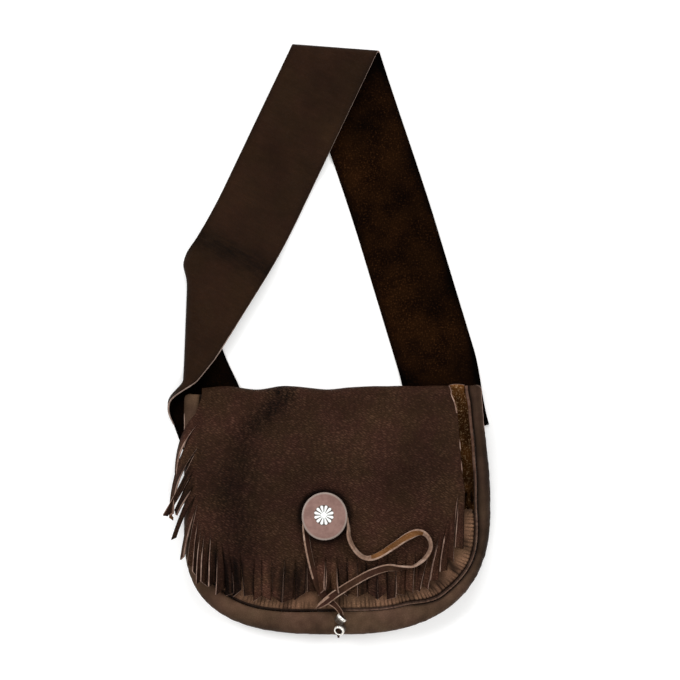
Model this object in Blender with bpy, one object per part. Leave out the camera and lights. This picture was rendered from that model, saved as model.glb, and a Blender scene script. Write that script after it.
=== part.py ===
# A soft leather flap bag with cut fringe, lying on its back with its strap laid out above it.
# Units are metres. The origin is in the middle of the back panel, on the face it lies on.
# +X is the bag's right seen from above, +Y runs from the bag's bottom to its top, +Z is up.

import math

import bmesh
import bpy
from mathutils import Vector, geometry

# Leather and seams
BAG_LEATHER = 0.0018
STRAP_LEATHER = 0.0018
GAP = 0.0003
WELT_THICKNESS = 0.0020
WELT_PROUD = 0.0006
SEAM_ALLOWANCE = 0.0045

# Bag body
BAG_WIDTH = 0.2882
BAG_HEIGHT = 0.2340
BAG_DEPTH = 0.0260
TOP_DEPTH = 0.0120
DEPTH_RUN = 0.0850
LEFT_CORNER_Y = -0.0130
LEFT_CORNER_FULLNESS = 2.9
RIGHT_CORNER_Y = 0.0020
RIGHT_CORNER_FULLNESS = 2.5
BOTTOM_POINT_X = 0.0020
RIGHT_LEAN = 0.0080
RIGHT_LEAN_Y = 0.0100
GUSSET_LEFT_END_Y = 0.1085
GUSSET_RIGHT_END_Y = 0.1170
GUSSET_FULLNESS = 0.6
EDGE_ROWS = 50

# How wide the gusset's bulge shows from above: place along the outline from the left end
# to the right end, then the width there
GUSSET_SHOW = (
    (0.00, 0.0125), (0.21, 0.0130), (0.33, 0.0175), (0.51, 0.0220),
    (0.60, 0.0205), (0.67, 0.0125), (0.75, 0.0095), (0.84, 0.0127), (0.88, 0.0120),
    (0.93, 0.0108), (0.97, 0.0108), (1.00, 0.0130),
)

# Back panel where it rides up over the strap's two ends
LIFT_START_Y = 0.0300
LIFT_END_Y = 0.0420

# Front panel
MOUTH_Y = 0.0000
MOUTH_CROWN = 0.0070
PANEL_CROWN = 0.0010
PANEL_EDGE_DROP = 0.0012
PANEL_EDGE_ROLL = 0.0120
GATHER_PITCH = 0.0042
GATHER_HEIGHT = 0.0005
GATHER_REACH = 0.0130

# Flap and its top fold
FLAP_RIDE = 0.0016
FLAP_LEFT_X = -0.1271
FLAP_RIGHT_X = 0.1055
FLAP_RIGHT_EDGE = ((0.1125, 0.0950), (0.1150, 0.0650), (0.1172, 0.0370))
SHOULDER_CURL = 65.0
FOLD_DIP = ((-0.1271, -0.0022), (-0.1050, -0.0006), (-0.0755, -0.0036), (-0.0475, -0.0002),
            (-0.0105, -0.0034), (0.0310, -0.0005), (0.0700, -0.0004), (0.1055, 0.0000))
FOLD_DIP_REACH = 0.0350
FLAP_SWELL = 0.0025
SWELL_LINE = ((-0.0490, 0.1130), (-0.1060, -0.0080))
SWELL_SPREAD = 0.0240
SWELL_END_Y = (-0.0150, -0.0500)

# Fringe: the line that the slits stop at, left end to right end
FRINGE_LINE = (
    (-0.1332, 0.0912), (-0.1309, 0.0808), (-0.1318, 0.0480), (-0.1320, 0.0130),
    (-0.1280, -0.0120), (-0.1140, -0.0265), (-0.0930, -0.0395), (-0.0500, -0.0432),
    (0.0026, -0.0432), (0.0500, -0.0420), (0.0760, -0.0360), (0.0975, -0.0206),
    (0.1068, -0.0050), (0.1201, 0.0179),
)
# Place along that line, strip width along it, hang angle from straight down (towards the
# left), bend of the strip over its length, strip length
FRINGE_HANG = (
    (0.00, 0.0150, 27.0, -4.0, 0.0440),
    (0.19, 0.0150, 26.0, -8.0, 0.0520),
    (0.30, 0.0120, 14.0, -4.0, 0.0480),
    (0.36, 0.0092, 5.0, 1.0, 0.0470),
    (0.45, 0.0100, 3.0, 1.0, 0.0410),
    (0.80, 0.0100, 6.0, 2.0, 0.0400),
    (0.90, 0.0092, 11.0, 3.0, 0.0500),
    (1.00, 0.0110, 3.0, 4.0, 0.0520),
)
FRINGE_TAPER = 0.26
FRINGE_TIP = 0.0050
FRINGE_UNEVEN = 0.16
FRINGE_DROOP = 0.0280
FRINGE_DROOP_REACH = 2.0

# Shoulder strap
STRAP_WIDTH = 0.0752
STRAP_END_WIDTH = 0.0738
STRAP_NARROW_RUN = 0.1500
STRAP_TOP_X = -0.0018
STRAP_TOP_Y = 0.4350
STRAP_LEAN = 25.5
STRAP_BEND = 6.5
STRAP_BEND_START = 0.1500
STRAP_BEND_END = 0.2400
STRAP_RIGHT_RUN = 0.3800
STRAP_RIGHT_SHIFT = 0.0042
STRAP_SHIFT_RUN = 0.1900
STRAP_END_BEND = 0.0070
STRAP_END_BEND_RUN = 0.0750
STRAP_LEFT_RUN = 0.0880
STRAP_LEFT_END_SLANT = 0.15
TOP_FOLD_TILT = -4.33
TOP_FOLD_RADIUS = 0.0035
LEFT_FOLD_X = -0.1405
LEFT_FOLD_Y = 0.2331
LEFT_FOLD_TILT = -2.2
LEFT_FOLD_RADIUS = 0.0055
LEFT_FOLD_SQUEEZE = 0.72
LEFT_BULGE = -0.0042
LEFT_BULGE_Y = 0.2310
LEFT_BULGE_SPREAD = 0.0110
LEFT_BULGE_X = (-0.1180, -0.1400)
STRAP_REST_HEIGHT = 0.0012
STRAP_PULL = -0.0135
STRAP_PULL_START_Y = 0.1260
STRAP_PULL_END_Y = 0.0980
STRAP_TUCK = 0.0080
STRAP_TUCK_START_Y = 0.1500
STRAP_TUCK_END_Y = 0.1000

# Button, inlay and closure
BUTTON_X = -0.0119
BUTTON_Y = -0.0055
BUTTON_DIAMETER = 0.0446
BUTTON_THICKNESS = 0.0048
BUTTON_ROUND = 0.0016
BUTTON_DOME = 0.0004
SHANK_DIAMETER = 0.0110
SHANK_HEIGHT = 0.0046
PETALS = 12
PETAL_REACH = 0.0092
PETAL_WIDTH = 0.0027
PETAL_HUB = 0.0026
INLAY_THICKNESS = 0.0010
LACE_WIDTH = 0.0074
LACE_THICKNESS = 0.0020
LACE_POINTS = 46
BEAD_DIAMETER = 0.0100
BEAD_HOLE = 0.0064
BEAD_LENGTH = 0.0062

# The closure lace's way from its slit in the gusset, through the two beads, round the
# button's shank and back to its pointed end: place, turn about its run in degrees (0 stands
# on edge, 90 lies flat) and share of its full section
LACE_ROUTE = (
    (0.0012, -0.1188, 0.0140, 90, 0.62), (0.0012, -0.1189, 0.0200, 90, 0.62),
    (0.0016, -0.1134, 0.0283, 90, 0.58), (0.0026, -0.1072, 0.0302, 90, 0.58),
    (0.0033, -0.1014, 0.0315, 90, 0.58), (0.0034, -0.0962, 0.0322, 90, 0.58),
    (-0.0012, -0.0900, 0.0320, 90, 0.70),
    (-0.0072, -0.0850, 0.0312, 90, 1.00), (-0.0157, -0.0752, 0.0312, 80, 1.00),
    (-0.0214, -0.0611, 0.0316, 70, 1.00), (-0.0261, -0.0423, 0.0330, 70, 1.00),
    (-0.0289, -0.0254, 0.0340, 75, 1.00), (-0.0292, -0.0120, 0.0344, 90, 1.00),
    (-0.0250, 0.0000, 0.0345, 90, 1.00), (-0.0185, 0.0058, 0.0345, 90, 1.00),
    (-0.0119, 0.0072, 0.0345, 90, 1.00), (-0.0021, 0.0047, 0.0345, 90, 1.00),
    (0.0059, -0.0038, 0.0345, 90, 1.00), (0.0102, -0.0132, 0.0347, 75, 1.00),
    (0.0110, -0.0255, 0.0352, 40, 1.00), (0.0167, -0.0371, 0.0352, 15, 1.00),
    (0.0256, -0.0444, 0.0348, 8, 1.00), (0.0369, -0.0432, 0.0348, 15, 1.00),
    (0.0529, -0.0334, 0.0352, 50, 1.00), (0.0667, -0.0242, 0.0360, 40, 1.00),
    (0.0772, -0.0205, 0.0366, 15, 1.00), (0.0848, -0.0244, 0.0366, 0, 1.00),
    (0.0879, -0.0338, 0.0360, 0, 1.00), (0.0829, -0.0442, 0.0350, 0, 1.00),
    (0.0721, -0.0522, 0.0342, 10, 1.00), (0.0594, -0.0541, 0.0334, 45, 1.00),
    (0.0461, -0.0541, 0.0322, 80, 1.00), (0.0300, -0.0597, 0.0320, 90, 1.00),
    (0.0131, -0.0691, 0.0330, 90, 1.00), (-0.0010, -0.0780, 0.0340, 90, 1.00),
    (-0.0115, -0.0860, 0.0340, 90, 0.95), (-0.0210, -0.0928, 0.0325, 90, 0.45),
)


# Curves and small helpers

def smooth(start, end, value):
    t = min(1.0, max(0.0, (value - start) / (end - start)))
    return t * t * (3.0 - 2.0 * t)


def along(table, place, column=1, eased=True):
    """The value of one column of a table at a place given by its first column."""
    if place <= table[0][0]:
        return table[0][column]
    for low, high in zip(table, table[1:]):
        if place <= high[0]:
            share = (place - low[0]) / (high[0] - low[0])
            if eased:
                share = smooth(0.0, 1.0, share)
            return low[column] + (high[column] - low[column]) * share
    return table[-1][column]


def spline(points, steps):
    """A smooth curve through the points, with the given steps between neighbours."""
    points = [Vector(p) for p in points]
    ends = [2 * points[0] - points[1]] + points + [2 * points[-1] - points[-2]]
    curve = []
    for a, b, c, d in zip(ends, ends[1:], ends[2:], ends[3:]):
        for step in range(steps):
            t = step / steps
            curve.append(0.5 * (2 * b + (c - a) * t + (2 * a - 5 * b + 4 * c - d) * t * t
                                + (3 * b - a - 3 * c + d) * t ** 3))
    curve.append(points[-1])
    return curve


def walk(curve):
    """The length along a curve at each of its points."""
    lengths = [0.0]
    for a, b in zip(curve, curve[1:]):
        lengths.append(lengths[-1] + (b - a).length)
    return lengths


def point_at(curve, lengths, distance):
    distance = min(max(distance, 0.0), lengths[-1])
    for i in range(1, len(curve)):
        if distance <= lengths[i]:
            share = (distance - lengths[i - 1]) / max(lengths[i] - lengths[i - 1], 1e-9)
            return curve[i - 1].lerp(curve[i], share)
    return curve[-1].copy()


def spaced(curve, count):
    lengths = walk(curve)
    return [point_at(curve, lengths, lengths[-1] * i / count) for i in range(count + 1)]


def inside(point, polygon):
    hit = False
    for a, b in zip(polygon, polygon[1:] + polygon[:1]):
        if (a[1] > point[1]) != (b[1] > point[1]):
            if point[0] < a[0] + (point[1] - a[1]) * (b[0] - a[0]) / (b[1] - a[1]):
                hit = not hit
    return hit


def clear_of(point, polygon, distance):
    return all((Vector(point) - Vector(p)).length > distance for p in polygon)


# Bag outline

def bag_outline():
    """The bag's outer edge seen from above, left top end, round the bottom, to right top end."""
    half = BAG_WIDTH / 2
    bottom = -BAG_HEIGHT / 2
    curve = [Vector((-half, GUSSET_LEFT_END_Y))]
    for side, corner_y, fullness in ((-1, LEFT_CORNER_Y, LEFT_CORNER_FULLNESS),
                                     (1, RIGHT_CORNER_Y, RIGHT_CORNER_FULLNESS)):
        reach_x = half - side * BOTTOM_POINT_X
        reach_y = corner_y - bottom
        quarter = []
        for step in range(33):
            angle = math.radians(90.0 * step / 32)
            x = BOTTOM_POINT_X + side * reach_x * math.cos(angle) ** (2 / fullness)
            y = corner_y - reach_y * math.sin(angle) ** (2 / fullness)
            quarter.append(Vector((x, y)))
        curve += quarter if side < 0 else quarter[::-1]
    rise_y = GUSSET_RIGHT_END_Y - RIGHT_CORNER_Y
    for step in range(1, 17):
        y = RIGHT_CORNER_Y + rise_y * step / 16
        curve.append(Vector((half - RIGHT_LEAN * smooth(RIGHT_LEAN_Y, BAG_HEIGHT / 2, y), y)))
    return curve


def edge_stations(count):
    """Points along the outline, each with its inward direction and the gusset's show.

    They lie on the same straight steps for every count, so that the pieces keep their gaps.
    """
    points = spaced(bag_outline(), EDGE_ROWS)
    corners = []
    for i, point in enumerate(points):
        tangent = (points[min(i + 1, EDGE_ROWS)] - points[max(i - 1, 0)]).normalized()
        corners.append((point, Vector((-tangent.y, tangent.x)), along(GUSSET_SHOW, i / EDGE_ROWS)))
    stations = []
    for i in range(count + 1):
        place = EDGE_ROWS * i / count
        low = min(int(place), EDGE_ROWS - 1)
        share = place - low
        start, end = corners[low], corners[low + 1]
        stations.append((start[0].lerp(end[0], share), start[1].lerp(end[1], share),
                         start[2] + (end[2] - start[2]) * share))
    return stations


def lift(y):
    """Height of the bag's underside above the floor."""
    return (STRAP_LEATHER + GAP) * smooth(LIFT_START_Y, LIFT_END_Y, y)


def depth(y):
    """Depth of the bag from its underside to its front seam."""
    top = BAG_HEIGHT / 2
    return TOP_DEPTH + (BAG_DEPTH - TOP_DEPTH) * smooth(top, top - DEPTH_RUN, y)


# Blender objects

def material(name, colour, roughness, metallic=0.0):
    made = bpy.data.materials.new(name)
    made.use_nodes = True
    shader = made.node_tree.nodes["Principled BSDF"]
    shader.inputs["Base Color"].default_value = (*colour, 1.0)
    shader.inputs["Roughness"].default_value = roughness
    shader.inputs["Metallic"].default_value = metallic
    return made


def add_object(name, mesh, finish):
    mesh.materials.append(finish)
    made = bpy.data.objects.new(name, mesh)
    bpy.context.collection.objects.link(made)
    return made


def object_from(name, bm, finish, smooth_angle=35.0):
    mesh = bpy.data.meshes.new(name)
    bmesh.ops.recalc_face_normals(bm, faces=bm.faces)
    bm.to_mesh(mesh)
    bm.free()
    mesh.shade_smooth()
    mesh.set_sharp_from_angle(angle=math.radians(smooth_angle))
    return add_object(name, mesh, finish)


def thicken(made, thickness):
    wall = made.modifiers.new("Leather", "SOLIDIFY")
    wall.thickness = thickness
    wall.offset = 0.0


def rolled_sheet(name, rows, thickness, finish):
    """A leather sheet from rows of points on its middle surface."""
    bm = bmesh.new()
    grid = [[bm.verts.new(p) for p in row] for row in rows]
    for low, high in zip(grid, grid[1:]):
        for i in range(len(low) - 1):
            bm.faces.new((low[i], low[i + 1], high[i + 1], high[i]))
    made = object_from(name, bm, finish)
    thicken(made, thickness)
    return made


def cut_sheet(name, border, lines, fill, thickness, finish):
    """A leather sheet cut to a flat pattern and laid in space.

    Each spot is its place on the flat pattern and its place in space. The border is closed,
    the lines are creases, and the fill is loose spots between them.
    """
    spots = list(border)
    edges = [(i, (i + 1) % len(border)) for i in range(len(border))]
    for line in lines:
        start = len(spots)
        spots += line
        edges += [(start + i, start + i + 1) for i in range(len(line) - 1)]
    spots += fill
    cut = geometry.delaunay_2d_cdt([Vector(s[0]) for s in spots], edges, [], 1, 1e-6)
    bm = bmesh.new()
    verts = [bm.verts.new(spots[source[0]][1]) for source in cut[3]]
    for face in cut[2]:
        bm.faces.new([verts[i] for i in face])
    made = object_from(name, bm, finish)
    thicken(made, thickness)
    return made


def closed_band(name, sections, finish):
    """A solid band through a row of closed sections with flat ends."""
    bm = bmesh.new()
    rings = [[bm.verts.new(p) for p in section] for section in sections]
    for low, high in zip(rings, rings[1:]):
        for i in range(len(low)):
            j = (i + 1) % len(low)
            bm.faces.new((low[i], low[j], high[j], high[i]))
    bm.faces.new(rings[0])
    bm.faces.new(rings[-1][::-1])
    return object_from(name, bm, finish)


def turned(bm, profile, segments, ring=False):
    """A shape turned about Z from a profile of (radius, height) points."""
    verts = [bm.verts.new((r, 0.0, z)) for r, z in profile]
    edges = [bm.edges.new((a, b)) for a, b in zip(verts, verts[1:])]
    if ring:
        edges.append(bm.edges.new((verts[-1], verts[0])))
    bmesh.ops.spin(bm, geom=verts + edges, cent=(0, 0, 0), axis=(0, 0, 1),
                   angle=math.tau, steps=segments, use_merge=True)
    bmesh.ops.remove_doubles(bm, verts=bm.verts, dist=1e-6)


# Gusset and welts

def gusset(finish):
    half = BAG_LEATHER / 2
    rows = []
    for point, inward, show in edge_stations(EDGE_ROWS):
        low = lift(point.y) + half
        high = lift(point.y) + depth(point.y) - half
        seam = show - half
        section = [(seam, low + SEAM_ALLOWANCE), (seam, low)]
        for angle in (-55, -25, 0, 25, 55):
            turn = math.radians(angle)
            full = math.copysign(abs(math.sin(turn)) ** GUSSET_FULLNESS, angle)
            section.append((seam - (seam - half) * math.cos(turn),
                            (low + high) / 2 + (high - low) / 2 * full))
        section += [(seam, high), (seam, high - SEAM_ALLOWANCE)]
        rows.append([(*(point + inward * u), z) for u, z in section])
    return rolled_sheet("gusset", rows, BAG_LEATHER, finish)


def welt(name, finish, front):
    sections = []
    for point, inward, show in edge_stations(EDGE_ROWS):
        near = show + GAP
        far = near + WELT_THICKNESS
        if front:
            high = lift(point.y) + depth(point.y) + WELT_PROUD
            low = high - WELT_PROUD - SEAM_ALLOWANCE
        else:
            low = lift(point.y) + GAP
            high = low + SEAM_ALLOWANCE
        corners = ((near, low), (far, low), (far, high), (near, high))
        sections.append([(*(point + inward * u), z) for u, z in corners])
    return closed_band(name, sections, finish)


def seam_inset(show):
    """How far inside the outline a panel's turned edge lies, to its middle surface."""
    return show + GAP + WELT_THICKNESS + GAP + BAG_LEATHER / 2


# Front panel

def panel_height(y, from_seam):
    crown = PANEL_CROWN - (PANEL_CROWN + PANEL_EDGE_DROP) * (
        1.0 - smooth(0.0, PANEL_EDGE_ROLL, from_seam))
    return lift(y) + depth(y) - BAG_LEATHER / 2 + crown


def front_panel(finish):
    length = walk(bag_outline())[-1]
    stations = edge_stations(2 * round(length / GATHER_PITCH))
    stations = [s for s in stations if s[0].y < MOUTH_Y - 0.0005]

    def ring(inward_step, gathered, sunk=0.0, every=1):
        spots = []
        for i, (point, inward, show) in enumerate(stations):
            if i % every and i != len(stations) - 1:
                continue
            place = point + inward * (seam_inset(show) + max(inward_step, 0.0))
            pattern = point + inward * (seam_inset(show) + inward_step)
            ripple = gathered * (1 if i % 2 else -1)
            z = panel_height(point.y, max(inward_step, 0.0)) - sunk + ripple
            spots.append((pattern, (*place, z)))
        return spots

    turned_in = ring(-SEAM_ALLOWANCE, 0.0, sunk=SEAM_ALLOWANCE, every=2)
    crease = ring(0.0, GATHER_HEIGHT * 0.5)
    middle = ring(GATHER_REACH * 0.45, GATHER_HEIGHT)
    quiet = ring(GATHER_REACH, 0.0, every=3)
    left, right = quiet[0][0].x, quiet[-1][0].x
    mouth = []
    for step in range(1, 12):
        x = right + (left - right) * step / 12
        reach = (x - (left + right) / 2) / ((right - left) / 2)
        y = MOUTH_Y + MOUTH_CROWN * (1.0 - reach * reach)
        mouth.append(((x, y), (x, y, panel_height(y, PANEL_EDGE_ROLL))))
    border = turned_in + [crease[-1], middle[-1], quiet[-1]] + mouth
    border += [quiet[0], middle[0], crease[0]]
    hollow = [tuple(spot[0]) for spot in quiet] + [spot[0] for spot in mouth]
    fill = []
    for i in range(1, 14):
        for j in range(1, 6):
            spot = (left + (right - left) * i / 14, MOUTH_Y - 0.0900 * j / 5.5)
            if inside(spot, hollow) and clear_of(spot, hollow, 0.0080):
                fill.append((spot, (*spot, panel_height(spot[1], PANEL_EDGE_ROLL))))
    return cut_sheet("front_panel", border, [crease[1:-1], middle[1:-1], quiet[1:-1]], fill,
                     BAG_LEATHER, finish)


# Back panel, fold and flap

def fold_radius():
    return (TOP_DEPTH + PANEL_CROWN + FLAP_RIDE - BAG_LEATHER / 2) / 2


def fold_y():
    return BAG_HEIGHT / 2 - fold_radius() - BAG_LEATHER / 2


def fold_shift(x, y):
    return along(FOLD_DIP, x) * smooth(fold_y() - FOLD_DIP_REACH, fold_y(), y)


def swell(x, y):
    """The flap's soft wave: flat along one slanting line and raised on both sides of it."""
    start, end = Vector(SWELL_LINE[0]), Vector(SWELL_LINE[1])
    run = (end - start).normalized()
    away = (Vector((x, y)) - start).dot(Vector((-run.y, run.x)))
    edge = smooth(fold_y(), fold_y() - 0.0500, y)
    sides = smooth(FLAP_LEFT_X, FLAP_LEFT_X + 0.0300, x)
    fringed = 1.0 - smooth(*SWELL_END_Y, y)
    return FLAP_SWELL * (1.0 - math.exp(-(away / SWELL_SPREAD) ** 2)) * edge * sides * fringed


def droop(x, y, outline):
    """How far a fringe strip has sunk once it has passed over the bag's edge."""
    spot = Vector((x, y))
    point, inward, show = min(outline, key=lambda s: (s[0] - spot).length)
    past = max(0.0, 1.0 - (spot - point).dot(inward) / show)
    sink = FRINGE_DROOP * depth(point.y) / BAG_DEPTH
    return sink * past ** 2 / (past ** 2 + FRINGE_DROOP_REACH ** 2)


def flap_height(x, y, outline):
    """Height of the flap's middle surface."""
    ride = PANEL_CROWN + FLAP_RIDE
    return lift(y) + depth(y) + ride + swell(x, y) - droop(x, y, outline)


def flap_spot(x, y, outline):
    pattern_y = 2 * fold_y() + math.pi * fold_radius() - y
    return ((x, pattern_y), (x, y + fold_shift(x, y), flap_height(x, y, outline)))


def fold_spot(x, angle):
    radius = fold_radius()
    turn = math.radians(angle)
    y = fold_y() + radius * math.sin(turn)
    z = lift(y) + BAG_LEATHER / 2 + radius * (1.0 - math.cos(turn))
    return ((x, fold_y() + radius * turn), (x, y + fold_shift(x, fold_y()), z))


def fringe(outline):
    """The border of the fringed edge from its left end to its right end."""
    curve = spline(FRINGE_LINE, 8)
    lengths = walk(curve)
    total = lengths[-1]
    slits = [0.0]
    while slits[-1] < total:
        step = along(FRINGE_HANG, slits[-1] / total, 1)
        slits.append(slits[-1] + step * (1.0 + FRINGE_UNEVEN * math.sin(2.4 * len(slits))))
    slits[-1] = total
    if slits[-1] - slits[-2] < 0.0050:
        slits.pop(-2)
    border = [flap_spot(*curve[0], outline)]
    for number, (start, end) in enumerate(zip(slits, slits[1:])):
        place = (start + end) / 2 / total
        hang = along(FRINGE_HANG, place, 2)
        bend = along(FRINGE_HANG, place, 3)
        length = along(FRINGE_HANG, place, 4) * (1.0 + 0.10 * math.sin(1.7 * number))
        root_a, root_b = point_at(curve, lengths, start), point_at(curve, lengths, end)
        rows = 5 if place < 0.30 else 4 if place < 0.42 or place > 0.86 else 2
        side_a, side_b = [], []
        spine = (root_a + root_b) / 2
        for row in range(1, rows + 1):
            share = row / rows
            angle = math.radians(hang + bend * share)
            spine += Vector((-math.sin(angle), -math.cos(angle))) * (length - FRINGE_TIP) / rows
            narrow = 0.5 * (1.0 - FRINGE_TAPER * share)
            side_a.append(spine - (root_b - root_a) * narrow)
            side_b.append(spine + (root_b - root_a) * narrow)
        slant = 0.30 * math.sin(2.9 * number)
        tip = spine + (root_b - root_a) * slant * (1.0 - FRINGE_TAPER)
        tip += Vector((-math.sin(angle), -math.cos(angle))) * FRINGE_TIP
        for spot in side_a + [tip] + side_b[::-1] + [root_b]:
            border.append(flap_spot(*spot, outline))
    return border


def back_and_flap(finish):
    outline = edge_stations(120)
    half = BAG_LEATHER / 2
    seam = [s for s in edge_stations(EDGE_ROWS) if s[0].y < fold_y() - 0.0060]

    turned_in, crease = [], []
    for point, inward, show in seam:
        place = point + inward * seam_inset(show)
        pattern = point + inward * (seam_inset(show) - SEAM_ALLOWANCE)
        z = lift(point.y) + half
        turned_in.append((pattern, (*place, z + SEAM_ALLOWANCE)))
        crease.append((place, (*place, z)))
    left_x, right_x = crease[0][0].x, crease[-1][0].x
    ends = [(point + inward * (seam_inset(show) + BAG_LEATHER / 2)).x
            for point, inward, show in (outline[0], outline[-1])]
    left_end, right_end = max(left_x, ends[0]), min(right_x, ends[1])

    angles = [180.0 * i / 7 for i in range(8)]
    shoulder = [fold_spot(right_end, SHOULDER_CURL), fold_spot(FLAP_RIGHT_X + 0.0040, SHOULDER_CURL)]
    right_edge = [fold_spot(FLAP_RIGHT_X, a) for a in angles if a > SHOULDER_CURL + 5]
    strips = fringe(outline)
    top_right, top_left = strips[-1][1], strips[0][1]
    right_slope = spline([(FLAP_RIGHT_X, fold_y()), *FLAP_RIGHT_EDGE, tuple(top_right[:2])], 2)
    left_slope = spline([(top_left[0], top_left[1]), (FLAP_LEFT_X, fold_y())], 4)
    right_side = [flap_spot(*p, outline) for p in right_slope[1:-1]]
    left_side = [flap_spot(*p, outline) for p in left_slope[1:-1]]
    left_edge = [fold_spot(FLAP_LEFT_X, a) for a in angles[::-1] if a > SHOULDER_CURL + 5]
    border = turned_in + [crease[-1]] + shoulder + right_edge + right_side + strips[::-1]
    border += left_side + left_edge + [fold_spot(left_end, SHOULDER_CURL), crease[0]]

    creases = [crease[1:-1]]
    for angle in angles:
        row = [fold_spot(FLAP_LEFT_X + (FLAP_RIGHT_X - FLAP_LEFT_X) * i / 14, angle)
               for i in range(1, 14)]
        creases.append(row)
    fill = back_fill(left_x, right_x) + flap_fill(strips, outline)
    return cut_sheet("back_and_flap", border, creases, fill, BAG_LEATHER, finish)


def back_fill(left_x, right_x):
    fill = []
    rows = [fold_y() - 0.0180 * i for i in range(1, 3)]
    rows += [LIFT_START_Y + (LIFT_END_Y - LIFT_START_Y) * i / 3 for i in range(4)]
    rows += [0.0, -0.0450]
    for y in rows:
        for i in range(1, 10):
            x = left_x + 0.0080 + (right_x - left_x - 0.0160) * (i - 0.5) / 9
            if math.hypot(x / 0.1150, min(y, 0.0) / 0.0850) < 1.05:
                fill.append(((x, y), (x, y + fold_shift(x, y), lift(y) + BAG_LEATHER / 2)))
    return fill


def flap_fill(strips, outline):
    roots = [Vector(p) for p in spline(FRINGE_LINE, 4)]
    body = [tuple(p) for p in roots] + [(FLAP_RIGHT_X, fold_y()), (FLAP_LEFT_X, fold_y())]
    fill = []
    for i in range(15):
        for j in range(10):
            x = FLAP_LEFT_X + 0.0080 + (FLAP_RIGHT_X - FLAP_LEFT_X - 0.0080) * i / 14
            y = fold_y() - 0.0060 - 0.1420 * j / 9
            if inside((x, y), body) and clear_of((x, y), body[:-2], 0.0065):
                fill.append(flap_spot(x, y, outline))
    return fill


# Shoulder strap

def strap_centre(distance):
    """The strap's middle line in the flat, before its folds: place and direction."""
    place = Vector((STRAP_TOP_X, STRAP_TOP_Y))
    steps = 60
    for step in range(steps):
        part = distance * (step + 0.5) / steps
        bend = STRAP_BEND * smooth(STRAP_BEND_START, STRAP_BEND_END, part)
        angle = math.radians(STRAP_LEAN + bend)
        run = Vector((-math.sin(angle), -math.cos(angle)))
        place += run * distance / steps
    bend = STRAP_BEND * smooth(STRAP_BEND_START, STRAP_BEND_END, distance)
    angle = math.radians(STRAP_LEAN + bend)
    return place, Vector((-math.sin(angle), -math.cos(angle)))


def top_fold():
    tilt = math.radians(TOP_FOLD_TILT)
    away = Vector((-math.sin(tilt), math.cos(tilt)))
    crest = Vector((STRAP_TOP_X, STRAP_TOP_Y))
    return crest - away * (TOP_FOLD_RADIUS + STRAP_LEATHER / 2), away, TOP_FOLD_RADIUS


def left_fold():
    tilt = math.radians(LEFT_FOLD_TILT)
    away = Vector((-math.cos(tilt), -math.sin(tilt)))
    edge = Vector((LEFT_FOLD_X, LEFT_FOLD_Y))
    return edge - away * (LEFT_FOLD_RADIUS + STRAP_LEATHER / 2), away, LEFT_FOLD_RADIUS


def upper_height(distance):
    """Height of the strap's upper run: over its right run, down to the floor, over its left."""
    start = 2 * TOP_FOLD_RADIUS
    end = 2 * LEFT_FOLD_RADIUS
    down = start + (STRAP_REST_HEIGHT - start) * smooth(0.0950, 0.1350, distance)
    return STRAP_LEATHER / 2 + down + (end - STRAP_REST_HEIGHT) * smooth(0.1700, 0.2250, distance)


def strap_spot(distance, across):
    """A point of the folded strap from its place along and across the flat strip."""
    place, run = strap_centre(distance)
    spot = place + Vector((-run.y, run.x)) * -across
    height = upper_height(distance)
    for (line, away, radius), squeeze in ((top_fold(), 1.0), (left_fold(), LEFT_FOLD_SQUEEZE)):
        past = (spot - line).dot(away)
        if past <= 0.0:
            continue
        turn = min(past / radius, math.pi)
        spot = spot - away * past + away * (radius * math.sin(turn))
        spot -= away * max(0.0, past - math.pi * radius) * squeeze
        height -= radius * (1.0 - math.cos(turn))
    if distance > 0.0:
        bulge = math.exp(-((spot.y - LEFT_BULGE_Y) / LEFT_BULGE_SPREAD) ** 2)
        tuck = STRAP_TUCK * smooth(STRAP_TUCK_START_Y, STRAP_TUCK_END_Y, spot.y)
        spot.x += LEFT_BULGE * bulge * smooth(*LEFT_BULGE_X, spot.x)
        spot.x += STRAP_PULL * smooth(STRAP_PULL_START_Y, STRAP_PULL_END_Y, spot.y)
        spot.y += tuck
    bend_start = STRAP_END_BEND_RUN - STRAP_RIGHT_RUN
    spot.x += STRAP_RIGHT_SHIFT * smooth(0.0, -STRAP_SHIFT_RUN, distance)
    spot.x -= STRAP_END_BEND * smooth(bend_start, -STRAP_RIGHT_RUN, distance)
    return (spot.x, spot.y, max(height, STRAP_LEATHER / 2))


def strap_distances():
    """Distances of the cross rows along the middle line, close together at the two folds."""
    line, away, radius = top_fold()
    run = strap_centre(0.0)[1]
    top_start = (strap_centre(0.0)[0] - line).dot(away) / -run.dot(away)
    top_end = top_start + math.pi * radius / run.dot(away)
    rows = [-STRAP_RIGHT_RUN + (top_end + STRAP_RIGHT_RUN) * i / 12 for i in range(12)]
    rows += [top_end + (top_start - top_end) * i / 7 for i in range(8)]
    line, away, radius = left_fold()
    distance = 0.2000
    while (strap_centre(distance)[0] - line).dot(away) < 0.0:
        distance += 0.0005
    slope = strap_centre(distance)[1].dot(away)
    left_end = distance + math.pi * radius / slope
    rows += [top_start + (distance - top_start) * i / 13 for i in range(1, 13)]
    rows += [distance + (left_end - distance) * i / 9 for i in range(10)]
    rows += [left_end + STRAP_LEFT_RUN * i / 6 for i in range(1, 7)]
    return rows, top_start, distance, left_end


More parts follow.
